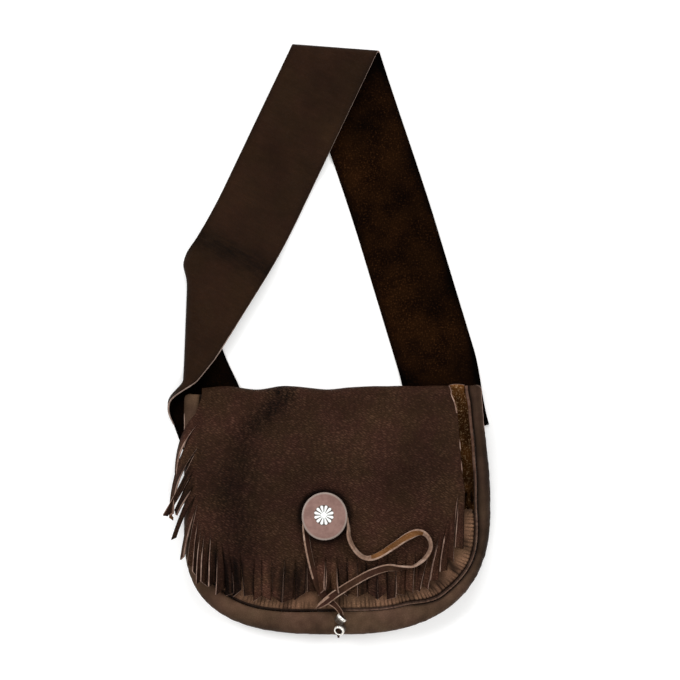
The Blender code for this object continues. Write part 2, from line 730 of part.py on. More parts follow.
def shoulder_strap(finish):
    distances, top_start, left_start, left_end = strap_distances()
    first, last = distances[0], distances[-1]

    def slant(fold, distance):
        run = strap_centre(distance)[1]
        side = Vector((-run.y, run.x)) * -1
        return -side.dot(fold[1]) / run.dot(fold[1])

    top_slant = slant(top_fold(), 0.0)
    left_slant = slant(left_fold(), left_start)
    slants = ((first, 0.0), (first + 0.0800, 0.0), (-0.0300, top_slant), (top_start, top_slant),
              (0.0800, top_slant), (left_start, left_slant), (left_end, left_slant),
              (last, STRAP_LEFT_END_SLANT))
    rows = []
    for distance in distances:
        width = STRAP_WIDTH + (STRAP_END_WIDTH - STRAP_WIDTH) * smooth(0.0, -STRAP_NARROW_RUN, distance)
        skew = along(slants, distance, eased=False)
        across = [width * i / 6 - STRAP_WIDTH / 2 for i in range(7)]
        rows.append([strap_spot(distance + skew * a, a) for a in across])
    return rolled_sheet("shoulder_strap", rows, STRAP_LEATHER, finish)


# Button, inlay, beads and lace

def button_base():
    """Height that the shank stands on: just clear of the flap's upper face."""
    outline = edge_stations(120)
    reach = SHANK_DIAMETER / 2
    spots = [(BUTTON_X + reach * math.cos(a), BUTTON_Y + reach * math.sin(a))
             for a in (0.0, math.pi / 2, math.pi, math.pi * 1.5)]
    top = max(flap_height(*s, outline) for s in spots)
    return top + BAG_LEATHER / 2 + GAP


def petal_outline(clearance):
    points = []
    for petal in range(PETALS):
        middle = math.tau * petal / PETALS
        half = PETAL_WIDTH / 2 + clearance
        shoulder = PETAL_REACH - PETAL_WIDTH * 0.35
        valley = middle - math.pi / PETALS
        hub = PETAL_HUB + clearance * 1.5
        points.append((hub * math.cos(valley), hub * math.sin(valley)))
        for along_petal, across in ((shoulder, -half), (PETAL_REACH + clearance, 0.0),
                                    (shoulder, half)):
            points.append((along_petal * math.cos(middle) - across * math.sin(middle),
                           along_petal * math.sin(middle) + across * math.cos(middle)))
    return points


def petal_solid(name, clearance, low, high, finish):
    bm = bmesh.new()
    face = bm.faces.new([bm.verts.new((x, y, low)) for x, y in petal_outline(clearance)])
    raised = bmesh.ops.extrude_face_region(bm, geom=[face])
    top = [v for v in raised["geom"] if isinstance(v, bmesh.types.BMVert)]
    bmesh.ops.translate(bm, verts=top, vec=(0, 0, high - low))
    return object_from(name, bm, finish)


def button_and_inlay(button_finish, inlay_finish):
    base = button_base()
    disc = SHANK_HEIGHT
    top = disc + BUTTON_THICKNESS
    outer = BUTTON_DIAMETER / 2
    profile = [(0.0, 0.0), (SHANK_DIAMETER / 2, 0.0), (SHANK_DIAMETER / 2, disc),
               (outer - BUTTON_ROUND, disc), (outer - BUTTON_ROUND * 0.3, disc + BUTTON_ROUND * 0.3),
               (outer, disc + BUTTON_ROUND), (outer, top - BUTTON_ROUND),
               (outer - BUTTON_ROUND * 0.3, top - BUTTON_ROUND * 0.3),
               (outer - BUTTON_ROUND, top), (outer * 0.55, top + BUTTON_DOME),
               (0.0, top + BUTTON_DOME)]
    bm = bmesh.new()
    turned(bm, profile, 36)
    button = object_from("button", bm, button_finish)
    button.location = (BUTTON_X, BUTTON_Y, base)
    face = top + BUTTON_DOME
    floor = face - INLAY_THICKNESS - GAP
    cutter = petal_solid("inlay_pocket", GAP, floor, face + 0.0020, inlay_finish)
    cutter.location = button.location
    cutter.hide_render = True
    cutter.display_type = "WIRE"
    pocket = button.modifiers.new("Pocket", "BOOLEAN")
    pocket.operation = "DIFFERENCE"
    pocket.solver = "EXACT"
    pocket.object = cutter
    inlay = petal_solid("flower_inlay", 0.0, floor + GAP, face, inlay_finish)
    inlay.location = button.location


def closure_lace(finish):
    curve = bpy.data.curves.new("closure_lace", "CURVE")
    curve.dimensions = "3D"
    curve.twist_mode = "Z_UP"
    curve.extrude = (LACE_WIDTH - LACE_THICKNESS) / 2
    curve.bevel_depth = LACE_THICKNESS / 2
    curve.bevel_resolution = 2
    curve.use_fill_caps = True
    route = spline([p[:3] for p in LACE_ROUTE], 8)
    turns = spline([p[3:] for p in LACE_ROUTE], 8)
    lengths = walk(route)
    lace = curve.splines.new("POLY")
    lace.points.add(LACE_POINTS - 1)
    for i, point in enumerate(lace.points):
        distance = lengths[-1] * i / (LACE_POINTS - 1)
        point.co = (*point_at(route, lengths, distance), 1.0)
        turn, share = point_at(turns, lengths, distance)
        point.tilt = math.radians(turn)
        point.radius = min(share, 1.0)
    curve.materials.append(finish)
    made = bpy.data.objects.new("closure_lace", curve)
    bpy.context.collection.objects.link(made)


def bead(name, before, centre, after, finish):
    """A barrel bead on the lace, turned to the lace's run through it."""
    outer, hole, half = BEAD_DIAMETER / 2, BEAD_HOLE / 2, BEAD_LENGTH / 2
    wall = outer - hole
    profile = [(hole, -half * 0.8), (hole + wall * 0.3, -half), (outer - wall * 0.2, -half * 0.85),
               (outer, -half * 0.35), (outer, half * 0.35), (outer - wall * 0.2, half * 0.85),
               (hole + wall * 0.3, half), (hole, half * 0.8)]
    bm = bmesh.new()
    turned(bm, profile, 14, ring=True)
    made = object_from(name, bm, finish)
    made.location = centre
    made.rotation_mode = "QUATERNION"
    made.rotation_quaternion = (Vector(after) - Vector(before)).to_track_quat("Z", "Y")


def main():
    for old in list(bpy.data.objects):
        bpy.data.objects.remove(old, do_unlink=True)
    grain = (0.036, 0.019, 0.013)
    back_and_flap(material("flap_leather", grain, 0.50))
    front_panel(material("front_leather", (0.080, 0.042, 0.024), 0.55))
    gusset(material("gusset_leather", (0.065, 0.038, 0.026), 0.50))
    welt("front_welt", material("front_welt_leather", (0.100, 0.060, 0.042), 0.55), True)
    welt("back_welt", material("back_welt_leather", (0.090, 0.055, 0.040), 0.55), False)
    shoulder_strap(material("strap_leather", (0.026, 0.014, 0.009), 0.50))
    button_and_inlay(material("button_horn", (0.250, 0.140, 0.120), 0.40),
                     material("inlay_silver", (0.700, 0.710, 0.690), 0.30, 0.6))
    closure_lace(material("lace_leather", (0.150, 0.080, 0.045), 0.60))
    silver = material("bead_silver", (0.620, 0.590, 0.540), 0.28, 0.9)
    for name, stop in (("bead_lower", 2), ("bead_upper", 4)):
        before, centre, after = (LACE_ROUTE[i][:3] for i in (stop - 1, stop, stop + 1))
        bead(name, before, centre, after, silver)


main()
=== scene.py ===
# Looks of a soft leather fringe bag, lying on its back with its strap laid out above it.
# Metres, +Z up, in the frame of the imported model.

import math
import random

import bmesh
import bpy
from mathutils import Matrix, Vector, noise
from mathutils.kdtree import KDTree


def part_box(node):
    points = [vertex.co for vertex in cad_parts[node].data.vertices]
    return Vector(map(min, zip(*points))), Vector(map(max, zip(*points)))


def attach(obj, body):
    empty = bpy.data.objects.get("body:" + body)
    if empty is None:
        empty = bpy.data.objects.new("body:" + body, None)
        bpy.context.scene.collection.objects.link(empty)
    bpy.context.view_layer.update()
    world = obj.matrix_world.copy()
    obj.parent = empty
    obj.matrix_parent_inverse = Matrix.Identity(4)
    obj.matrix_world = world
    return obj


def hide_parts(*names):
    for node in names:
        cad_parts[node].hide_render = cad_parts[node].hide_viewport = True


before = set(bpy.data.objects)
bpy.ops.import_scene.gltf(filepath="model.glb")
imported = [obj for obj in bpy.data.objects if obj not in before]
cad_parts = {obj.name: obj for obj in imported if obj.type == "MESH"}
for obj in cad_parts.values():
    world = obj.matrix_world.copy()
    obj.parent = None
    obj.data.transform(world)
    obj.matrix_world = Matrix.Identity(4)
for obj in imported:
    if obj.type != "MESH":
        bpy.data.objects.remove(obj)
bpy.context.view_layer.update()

dice = random.Random(11)


# Curves and small helpers

def ease(start, end, value):
    t = min(1.0, max(0.0, (value - start) / (end - start)))
    return t * t * (3.0 - 2.0 * t)


def readTable(table, place, eased=True):
    if place <= table[0][0]:
        return table[0][1]
    for low, high in zip(table, table[1:]):
        if place <= high[0]:
            share = ease(low[0], high[0], place) if eased else (place - low[0]) / (high[0] - low[0])
            return low[1] + (high[1] - low[1]) * share
    return table[-1][1]


def ramp(values, run, place):
    # The first value, and as much of the second as the run has reached
    return values[0] + values[1] * ease(*run, place)


def bell(away, width):
    return math.exp(-(away / width) ** 2)


def smoothCurve(points, steps):
    points = [Vector(p) for p in points]
    ends = [2 * points[0] - points[1]] + points + [2 * points[-1] - points[-2]]
    curve = []
    for a, b, c, d in zip(ends, ends[1:], ends[2:], ends[3:]):
        for step in range(steps):
            t = step / steps
            curve.append(0.5 * (2 * b + (c - a) * t + (2 * a - 5 * b + 4 * c - d) * t * t
                                + (3 * b - a - 3 * c + d) * t ** 3))
    curve.append(points[-1])
    return curve


def lengthsOf(curve):
    lengths = [0.0]
    for a, b in zip(curve, curve[1:]):
        lengths.append(lengths[-1] + (b - a).length)
    return lengths


def pointAt(curve, lengths, distance):
    distance = min(max(distance, 0.0), lengths[-1])
    low, high = 0, len(curve) - 1
    while high - low > 1:
        middle = (low + high) // 2
        if lengths[middle] <= distance:
            low = middle
        else:
            high = middle
    share = (distance - lengths[low]) / max(lengths[high] - lengths[low], 1e-9)
    return curve[low].lerp(curve[high], share)


def ripple(x, y, z, scale, seed=0.0):
    return noise.noise(Vector((x * scale + seed, y * scale - seed, z * scale + 0.5 * seed)))


def reaches(curve, spot):
    # How far the spot lies from each stretch of the curve, and how far along the stretch
    for a, b in zip(curve, curve[1:]):
        run = b - a
        share = min(1.0, max(0.0, (spot - a).dot(run) / max(run.length_squared, 1e-12)))
        yield (spot - a - run * share).length, run.length * share


def fromLine(curve, spot):
    return min(away for away, along in reaches(curve, spot))


def placeOn(curve, lengths, spot):
    return min((away, start + along) for start, (away, along) in zip(lengths, reaches(curve, spot)))[1]


# The bag's main sizes, as in the solids, though the gusset shows wider at the left top

bag = {
    "leather": 0.0018, "gap": 0.0003, "weltThickness": 0.0020, "weltProud": 0.0006,
    "seamAllowance": 0.0045, "topDepth": 0.0120, "depthRun": 0.0850,
    "leftCornerY": -0.0130, "leftFullness": 2.9, "rightCornerY": 0.0020, "rightFullness": 2.5,
    "bottomPointX": 0.0020, "rightLean": 0.0080, "rightLeanY": 0.0100,
    "leftEndY": 0.1085, "rightEndY": 0.1170, "depth": 0.0260,
    "liftStartY": 0.0300, "liftEndY": 0.0420, "strapLeather": 0.0018,
    "cornerSteps": 64, "riseSteps": 32, "stations": 420,
}
buttonCentre = (-0.0119, -0.0055)
buttonOval = (0.962, 1.012)
inlayShift = (-0.0006, 0.0011)
gussetShow = (
    (0.00, 0.0148), (0.05, 0.0128), (0.21, 0.0130), (0.33, 0.0175), (0.51, 0.0220),
    (0.60, 0.0205), (0.67, 0.0125), (0.75, 0.0095), (0.84, 0.0127), (0.88, 0.0120),
    (0.93, 0.0108), (0.97, 0.0108), (1.00, 0.0130),
)
gussetLow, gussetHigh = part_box("gusset")
halfWidth = gussetHigh.x
bagTop = gussetHigh.y
bagBottom = gussetLow.y


def bagOutline():
    curve = [Vector((-halfWidth, bag["leftEndY"]))]
    for side, cornerY, fullness in ((-1, bag["leftCornerY"], bag["leftFullness"]),
                                    (1, bag["rightCornerY"], bag["rightFullness"])):
        reachX = halfWidth - side * bag["bottomPointX"]
        reachY = cornerY - bagBottom
        quarter = []
        for step in range(bag["cornerSteps"] + 1):
            angle = math.radians(90.0 * step / bag["cornerSteps"])
            x = bag["bottomPointX"] + side * reachX * math.cos(angle) ** (2 / fullness)
            y = cornerY - reachY * math.sin(angle) ** (2 / fullness)
            quarter.append(Vector((x, y)))
        curve += quarter if side < 0 else quarter[::-1]
    riseY = bag["rightEndY"] - bag["rightCornerY"]
    for step in range(1, bag["riseSteps"] + 1):
        y = bag["rightCornerY"] + riseY * step / bag["riseSteps"]
        lean = bag["rightLean"] * ease(bag["rightLeanY"], bagTop, y)
        curve.append(Vector((halfWidth - lean, y)))
    return curve


def edgeStations(count):
    outline = bagOutline()
    lengths = lengthsOf(outline)
    points = [pointAt(outline, lengths, lengths[-1] * i / count) for i in range(count + 1)]
    stations = []
    for i, point in enumerate(points):
        run = (points[min(i + 2, count)] - points[max(i - 2, 0)]).normalized()
        stations.append((point, Vector((-run.y, run.x)), readTable(gussetShow, i / count)))
    return stations


stations = edgeStations(bag["stations"])


def stationAt(share):
    place = min(max(share, 0.0), 1.0) * bag["stations"]
    low = min(int(place), bag["stations"] - 1)
    part = place - low
    start, end = stations[low], stations[low + 1]
    return (start[0].lerp(end[0], part), start[1].lerp(end[1], part).normalized(),
            start[2] + (end[2] - start[2]) * part)


def liftAt(y):
    rise = bag["strapLeather"] + bag["gap"]
    return rise * ease(bag["liftStartY"], bag["liftEndY"], y)


def depthAt(y):
    return bag["topDepth"] + (bag["depth"] - bag["topDepth"]) * ease(bagTop, bagTop - bag["depthRun"], y)


def seamInset(show):
    return show + 2 * bag["gap"] + bag["weltThickness"] + bag["leather"] / 2


# Materials

def newGroup(name, inputs, outputs):
    group = bpy.data.node_groups.new(name, "ShaderNodeTree")
    for label, kind, value in inputs:
        socket = group.interface.new_socket(label, in_out="INPUT", socket_type=kind)
        if value is not None:
            socket.default_value = value
    for label, kind in outputs:
        group.interface.new_socket(label, in_out="OUTPUT", socket_type=kind)
    return group, group.nodes.new("NodeGroupInput"), group.nodes.new("NodeGroupOutput")


def feed(tree, socket, value):
    # A colour of three numbers is opaque
    if isinstance(value, bpy.types.NodeSocket):
        tree.links.new(value, socket)
    elif isinstance(value, tuple) and len(value) < len(socket.default_value):
        socket.default_value = (*value, 1.0)
    elif value is not None:
        socket.default_value = value


def mathNode(tree, operation, first, second=None, third=None, clamp=False):
    node = tree.nodes.new("ShaderNodeMath")
    node.operation = operation
    node.use_clamp = clamp
    for socket, value in zip(node.inputs, (first, second, third)):
        feed(tree, socket, value)
    return node.outputs[0]


def vectorNode(tree, operation, first, second=None, scale=None):
    node = tree.nodes.new("ShaderNodeVectorMath")
    node.operation = operation
    for number, value in ((0, first), (1, second), (3, scale)):
        feed(tree, node.inputs[number], value)
    return node.outputs["Value" if operation in ("LENGTH", "DISTANCE") else "Vector"]


def mixColour(tree, factor, first, second, mode="MIX"):
    node = tree.nodes.new("ShaderNodeMix")
    node.data_type = "RGBA"
    node.blend_type = mode
    for label, value in ((0, factor), (6, first), (7, second)):
        feed(tree, node.inputs[label], value)
    return node.outputs[2]


def spread(tree, value, fromLow, fromHigh, toLow=0.0, toHigh=1.0):
    node = tree.nodes.new("ShaderNodeMapRange")
    for socket, number in zip(node.inputs, (value, fromLow, fromHigh, toLow, toHigh)):
        feed(tree, socket, number)
    return node.outputs[0]


def noiseNode(tree, vector, scale, detail=3.0, roughness=0.55, output="Fac"):
    node = tree.nodes.new("ShaderNodeTexNoise")
    for label, value in (("Vector", vector), ("Scale", scale), ("Detail", detail), ("Roughness", roughness)):
        feed(tree, node.inputs[label], value)
    return node.outputs[output]


def pebbleGroup():
    group, given, out = newGroup(
        "pebbleGrain",
        [("Vector", "NodeSocketVector", None), ("Cells", "NodeSocketFloat", 700.0),
         ("Warp", "NodeSocketFloat", 0.0012)],
        [("Height", "NodeSocketFloat"), ("Crown", "NodeSocketFloat")])
    warp = noiseNode(group, given.outputs["Vector"], 260.0, 2.0, 0.5, "Color")
    centred = vectorNode(group, "SUBTRACT", warp, (0.5, 0.5, 0.5))
    scaled = vectorNode(group, "SCALE", centred, scale=given.outputs["Warp"])
    moved = vectorNode(group, "ADD", given.outputs["Vector"], scaled)
    cells = group.nodes.new("ShaderNodeTexVoronoi")
    cells.feature = "DISTANCE_TO_EDGE"
    feed(group, cells.inputs["Vector"], moved)
    feed(group, cells.inputs["Scale"], given.outputs["Cells"])
    crown = spread(group, cells.outputs["Distance"], 0.0, 0.34)
    fine = noiseNode(group, moved, 900.0, 3.0, 0.6)
    feed(group, out.inputs["Height"], mathNode(group, "MULTIPLY_ADD", fine, 0.35, crown))
    fleck = spread(group, fine, 0.3, 0.7, -0.3, 0.3)
    feed(group, out.inputs["Crown"], mathNode(group, "ADD", fleck, crown))
    return group


def mottleGroup():
    group, given, out = newGroup(
        "hideMottle",
        [("Vector", "NodeSocketVector", None), ("Broad", "NodeSocketFloat", 22.0),
         ("Close", "NodeSocketFloat", 160.0)],
        [("Value", "NodeSocketFloat")])
    broad = noiseNode(group, given.outputs["Vector"], given.outputs["Broad"], 3.0)
    close = noiseNode(group, given.outputs["Vector"], given.outputs["Close"], 4.0, 0.65)
    both = mathNode(group, "MULTIPLY_ADD", broad, 0.6, mathNode(group, "MULTIPLY", close, 0.4))
    feed(group, out.inputs["Value"], spread(group, both, 0.36, 0.64))
    return group


def suedeGroup():
    group, given, out = newGroup(
        "suedeNap",
        [("Vector", "NodeSocketVector", None), ("Fibre", "NodeSocketFloat", 900.0)],
        [("Height", "NodeSocketFloat"), ("Fleck", "NodeSocketFloat"), ("Patch", "NodeSocketFloat")])
    fibre = noiseNode(group, given.outputs["Vector"], given.outputs["Fibre"], 5.0, 0.75)
    patches = noiseNode(group, given.outputs["Vector"], 45.0, 4.0, 0.6)
    feed(group, out.inputs["Height"], fibre)
    feed(group, out.inputs["Fleck"], spread(group, fibre, 0.54, 0.64))
    feed(group, out.inputs["Patch"], spread(group, patches, 0.38, 0.62))
    return group


groups = {"pebble": pebbleGroup(), "mottle": mottleGroup(), "suede": suedeGroup()}


def placeGroup(tree, name, **values):
    node = tree.nodes.new("ShaderNodeGroup")
    node.node_tree = groups[name]
    for label, value in values.items():
        feed(tree, node.inputs[label], value)
    return node


def startMaterial(name, roughness, specular):
    made = bpy.data.materials.new(name)
    made.use_nodes = True
    tree = made.node_tree
    shader = tree.nodes["Principled BSDF"]
    feed(tree, shader.inputs["Roughness"], roughness)
    feed(tree, shader.inputs["Specular IOR Level"], specular)
    coordinates = tree.nodes.new("ShaderNodeTexCoord")
    mapping = tree.nodes.new("ShaderNodeMapping")
    feed(tree, mapping.inputs["Vector"], coordinates.outputs["Object"])
    return made, tree, shader, mapping.outputs["Vector"]


def attributeNode(tree, name):
    node = tree.nodes.new("ShaderNodeAttribute")
    node.attribute_name = name
    return node.outputs["Fac"]


def bumpTo(tree, shader, height, strength, distance):
    node = tree.nodes.new("ShaderNodeBump")
    for label, value in (("Strength", strength), ("Distance", distance), ("Height", height)):
        feed(tree, node.inputs[label], value)
    feed(tree, shader.inputs["Normal"], node.outputs["Normal"])


def turnedPlace(tree, place, degrees, scale):
    node = tree.nodes.new("ShaderNodeMapping")
    node.vector_type = "TEXTURE"
    feed(tree, node.inputs["Rotation"], (0.0, 0.0, math.radians(degrees)))
    feed(tree, node.inputs["Scale"], tuple(1.0 / value for value in scale))
    feed(tree, node.inputs["Vector"], place)
    return node.outputs["Vector"]


def grainLeather(name, look):
    # Wrinkled where the attribute "wrinkle" is high, paler where the tone attribute is high, which holds the
    # leather's own tone together with painted shade and painted highlight
    made, tree, shader, place = startMaterial(name, look["roughness"], look["specular"])
    wrinkled = attributeNode(tree, "wrinkle")
    stretched = turnedPlace(tree, place, look["grainTurn"], look["stretch"])
    pebble = placeGroup(tree, "pebble", Vector=stretched, Cells=look["cells"])
    mottle = placeGroup(tree, "mottle", Vector=place).outputs["Value"]
    colour = mixColour(tree, mottle, look["dark"], look["light"])
    hue = spread(tree, noiseNode(tree, place, look["hueScale"]), 0.38, 0.62)
    tint = mixColour(tree, hue, *look["hues"])
    colour = mixColour(tree, look["hueShare"], colour, tint, "MULTIPLY")
    depth = spread(tree, mottle, 0.0, 1.0, look["grain"] * 0.55, look["grain"])
    depth = mathNode(tree, "MULTIPLY", depth, spread(tree, wrinkled, 0.0, 1.0, *look["grainSwing"]))
    swing = mathNode(tree, "MULTIPLY", spread(tree, pebble.outputs["Crown"], 0.0, 1.0, -1.0, 1.0), depth)
    across = turnedPlace(tree, place, look["wrinkleTurn"], look["wrinkleCells"])
    wrinkle = noiseNode(tree, across, 1.0, 3.0, 0.6)
    lineShare = spread(tree, wrinkled, 0.0, 1.0, look["lineLow"], look["lineHigh"])
    lines = mathNode(tree, "MULTIPLY", spread(tree, wrinkle, 0.35, 0.65, -1.0, 1.0), lineShare)
    swing = mathNode(tree, "ADD", swing, lines)
    toneAndPaintedLight = spread(tree, attributeNode(tree, "toneAndPaintedLight"), 0.0, 1.0, look["toneLow"], look["toneHigh"])
    # A painted sheen: a paler colour mixed onto the crowns of the grain, as painted highlight
    sheen = mathNode(tree, "MULTIPLY", swing, look["sheenShare"], clamp=True)
    sheen = mathNode(tree, "MULTIPLY", sheen, toneAndPaintedLight)
    toneAndPaintedLight = mathNode(tree, "MULTIPLY", toneAndPaintedLight, mathNode(tree, "MULTIPLY_ADD", swing, look["swingShare"], 1.0))
    colour = mixColour(tree, sheen, vectorNode(tree, "SCALE", colour, scale=toneAndPaintedLight), look["sheen"])
    feed(tree, shader.inputs["Base Color"], colour)
    rough = (look["roughness"] + change for change in look["roughSwing"])
    feed(tree, shader.inputs["Roughness"], spread(tree, mottle, 0.0, 1.0, *rough))
    share = mathNode(tree, "MULTIPLY", wrinkled, look["wrinkleShare"])
    height = mathNode(tree, "MULTIPLY_ADD", wrinkle, share, pebble.outputs["Height"])
    bumpTo(tree, shader, height, look["bump"], look["bumpDepth"])
    return made


def suedeLeather(name, look):
    made, tree, shader, place = startMaterial(name, 0.95, 0.02)
    nap = placeGroup(tree, "suede", Vector=place, Fibre=look["fibre"])
    colour = mixColour(tree, nap.outputs["Patch"], look["dark"], look["warm"])
    fleck = mathNode(tree, "MULTIPLY", nap.outputs["Fleck"], look["fleckShare"])
    colour = mixColour(tree, fleck, colour, look["fleck"])
    toneAndPaintedLight = spread(tree, attributeNode(tree, "toneAndPaintedLight"), 0.0, 1.0, look["toneLow"], look["toneHigh"])
    feed(tree, shader.inputs["Base Color"], vectorNode(tree, "SCALE", colour, scale=toneAndPaintedLight))
    bumpTo(tree, shader, nap.outputs["Height"], 0.6, 0.0006)
    return made


def cutEdge(name, look):
    made, tree, shader, place = startMaterial(name, 0.8, 0.3)
    streak = noiseNode(tree, place, 420.0, 4.0, 0.7)
    colour = mixColour(tree, spread(tree, streak, 0.35, 0.65), look["dark"], look["light"])
    bare = spread(tree, noiseNode(tree, place, 60.0, 2.0), 0.50, 0.62, 0.0, look["bareShare"])
    feed(tree, shader.inputs["Base Color"], mixColour(tree, bare, colour, look["bare"]))
    bumpTo(tree, shader, streak, 0.5, 0.0003)
    return made


def hornMaterial(name, look):
    # Round the button's centre, with a dark pocket round the inlay and a pale rim that is a painted
    # reflection
    made, tree, shader, place = startMaterial(name, look["roughness"], 0.5)
    place.node.inputs["Location"].default_value = (-look["centre"][0], -look["centre"][1], 0.0)
    flat = vectorNode(tree, "MULTIPLY", place, (1.0 / look["oval"][0], 1.0 / look["oval"][1], 0.0))
    radius = vectorNode(tree, "LENGTH", flat)
    cloud = noiseNode(tree, place, 130.0, 4.0, 0.6)
    fine = noiseNode(tree, place, 1500.0, 3.0, 0.7)
    colour = mixColour(tree, spread(tree, cloud, 0.38, 0.62), look["dark"], look["light"])
    colour = mixColour(tree, spread(tree, fine, 0.45, 0.75, 0.0, 0.35), colour, look["speck"])
    sunk = spread(tree, vectorNode(tree, "DISTANCE", flat, (*look["inlayShift"], 0.0)), *look["pocketRun"])
    colour = mixColour(tree, mathNode(tree, "MULTIPLY", sunk, look["pocketShare"]), colour, look["pocket"])
    # The pale rim is a painted reflection
    rim = spread(tree, radius, *look["rimRun"])
    colour = mixColour(tree, mathNode(tree, "MULTIPLY", rim, look["rimShare"]), colour, look["rim"])
    feed(tree, shader.inputs["Base Color"], colour)
    rings = mathNode(tree, "SINE", mathNode(tree, "MULTIPLY", radius, look["turningMarks"]))
    bumpTo(tree, shader, mathNode(tree, "MULTIPLY_ADD", rings, 0.12, fine), 0.25, 0.00012)
    return made


def metal(name, look):
    # Bright where the tone attribute is high, dull where it is low; on the beads this attribute paints
    # highlights and shade
    made, tree, shader, place = startMaterial(name, look["roughness"], look["specular"])
    wear = noiseNode(tree, place, 900.0, 4.0, 0.6)
    tarnish = spread(tree, noiseNode(tree, place, 260.0, 2.0), 0.40, 0.66, 0.0, look["tarnishShare"])
    paintedHighlight = attributeNode(tree, "toneAndPaintedLight")
    colour = mixColour(tree, paintedHighlight, look["dull"], mixColour(tree, tarnish, look["light"], look["tarnish"]))
    feed(tree, shader.inputs["Base Color"], colour)
    feed(tree, shader.inputs["Metallic"], mathNode(tree, "MULTIPLY", paintedHighlight, look["metallic"]))
    rough = (look["roughness"] + change for change in look["roughSwing"])
    feed(tree, shader.inputs["Roughness"], spread(tree, wear, 0.3, 0.7, *rough))
    bumpTo(tree, shader, wear, 0.2, 0.00008)
    return made


flapLook = {
    "dark": (0.0235, 0.0100, 0.0056), "light": (0.0400, 0.0178, 0.0102),
    "sheen": (0.140, 0.090, 0.064), "sheenShare": 0.13, "swingShare": 0.72, "hueShare": 1.0,
    "lineLow": 0.0, "lineHigh": 0.55, "grainTurn": -24.0,
    "grain": 0.90, "cells": 520.0, "stretch": (0.40, 1.25, 1.0), "roughness": 0.55, "specular": 0.03,
    "bump": 0.9, "bumpDepth": 0.0006, "toneLow": 0.10, "toneHigh": 1.90,
    "wrinkleTurn": -12.0, "wrinkleShare": 1.6, "wrinkleCells": (430.0, 75.0, 75.0),
    "hueScale": 34.0, "hues": ((1.06, 0.97, 1.06), (0.95, 1.03, 0.90)),
    "grainSwing": (0.65, 1.6), "roughSwing": (0.08, -0.06),
}
frontLook = dict(flapLook, dark=(0.091, 0.047, 0.0272), light=(0.144, 0.078, 0.0455),
                 grain=0.30, cells=700.0, bumpDepth=0.0003, sheenShare=0.0, swingShare=1.0, hueShare=0.2,
                 stretch=(0.72, 1.0, 1.0), lineHigh=0.1)
gussetLook = dict(flapLook, dark=(0.054, 0.0292, 0.0178), light=(0.080, 0.0458, 0.0287),
                  grain=0.22, cells=800.0, bumpDepth=0.00025, sheenShare=0.0, swingShare=1.0,
                  hueShare=0.4, stretch=(0.72, 1.0, 1.0), lineHigh=0.1)
weltLook = dict(frontLook, dark=(0.060, 0.030, 0.020), light=(0.132, 0.080, 0.058))
strapLook = dict(flapLook, dark=(0.0145, 0.0061, 0.0026), light=(0.0190, 0.0082, 0.0036),
                 grain=0.20, cells=800.0, roughness=0.50, specular=0.04, bumpDepth=0.00022, wrinkleTurn=62.0,
                 wrinkleShare=3.0, sheenShare=0.05, swingShare=1.0, hueShare=0.6, lineLow=0.08,
                 lineHigh=0.40)
laceLook = dict(flapLook, dark=(0.023, 0.0100, 0.0058), light=(0.044, 0.0200, 0.0122),
                grain=0.20, cells=900.0, bumpDepth=0.00018, sheenShare=0.0, swingShare=1.0)
strapSuedeLook = {
    "dark": (0.0030, 0.0009, 0.0002), "warm": (0.0085, 0.0029, 0.0007), "fleck": (0.034, 0.0130, 0.0040),
    "fleckShare": 0.80, "fibre": 620.0, "toneLow": 0.05, "toneHigh": 1.95,
}
backSuedeLook = dict(strapSuedeLook, dark=(0.030, 0.0105, 0.0022), warm=(0.088, 0.033, 0.0080),
                     fleck=(0.340, 0.215, 0.115), fleckShare=0.95, fibre=520.0)
laceSuedeLook = dict(strapSuedeLook, dark=(0.085, 0.034, 0.010), warm=(0.150, 0.066, 0.024),
                     fleck=(0.230, 0.120, 0.060))
edgeLook = {"dark": (0.110, 0.058, 0.040), "light": (0.240, 0.145, 0.108),
            "bare": (0.330, 0.220, 0.170), "bareShare": 0.8}
strapEdgeLook = {"dark": (0.150, 0.098, 0.076), "light": (0.300, 0.215, 0.175),
                 "bare": (0.380, 0.290, 0.245), "bareShare": 0.8}
laceEdgeLook = {"dark": (0.130, 0.072, 0.046), "light": (0.275, 0.168, 0.118),
                "bare": (0.370, 0.255, 0.195), "bareShare": 0.7}

hornLook = {
    "dark": (0.165, 0.088, 0.072), "light": (0.225, 0.128, 0.106), "speck": (0.30, 0.19, 0.16),
    # The rim colour is a painted reflection on the rounded edge
    "rim": (0.262, 0.210, 0.180), "rimRun": (0.0200, 0.0212), "rimShare": 0.80,
    "pocket": (0.055, 0.045, 0.036), "pocketShare": 0.85, "pocketRun": (0.0098, 0.0090),
    "inlayShift": inlayShift, "centre": buttonCentre, "oval": buttonOval,
    "roughness": 0.42, "turningMarks": 9000.0,
}
# On the beads the light colour is the painted highlight and the dull colour the painted shade
silverLook = {
    "light": (0.95, 0.92, 0.86), "tarnish": (0.40, 0.35, 0.28), "tarnishShare": 0.4,
    "dull": (0.040, 0.028, 0.020), "roughness": 0.28, "roughSwing": (-0.08, 0.12),
    "specular": 0.12, "metallic": 0.55,
}
inlayLook = dict(silverLook, light=(0.88, 0.90, 0.88), tarnish=(0.62, 0.64, 0.62), dull=(0.80, 0.82, 0.80),
                 roughness=0.35, specular=0.5, metallic=0.35)

finishes = {}
for makeFinish, looks in (
        (grainLeather, {"flapGrain": flapLook, "frontGrain": frontLook, "gussetGrain": gussetLook,
                        "weltGrain": weltLook, "strapGrain": strapLook, "laceGrain": laceLook}),
        (suedeLeather, {"strapSuede": strapSuedeLook, "backSuede": backSuedeLook,
                        "laceSuede": laceSuedeLook}),
        (cutEdge, {"cutEdge": edgeLook, "strapEdge": strapEdgeLook, "laceEdge": laceEdgeLook}),
        (hornMaterial, {"horn": hornLook}), (metal, {"silver": silverLook, "inlay": inlayLook})):
    for name, look in looks.items():
        finishes[name] = makeFinish(name, look)


# Making sheets

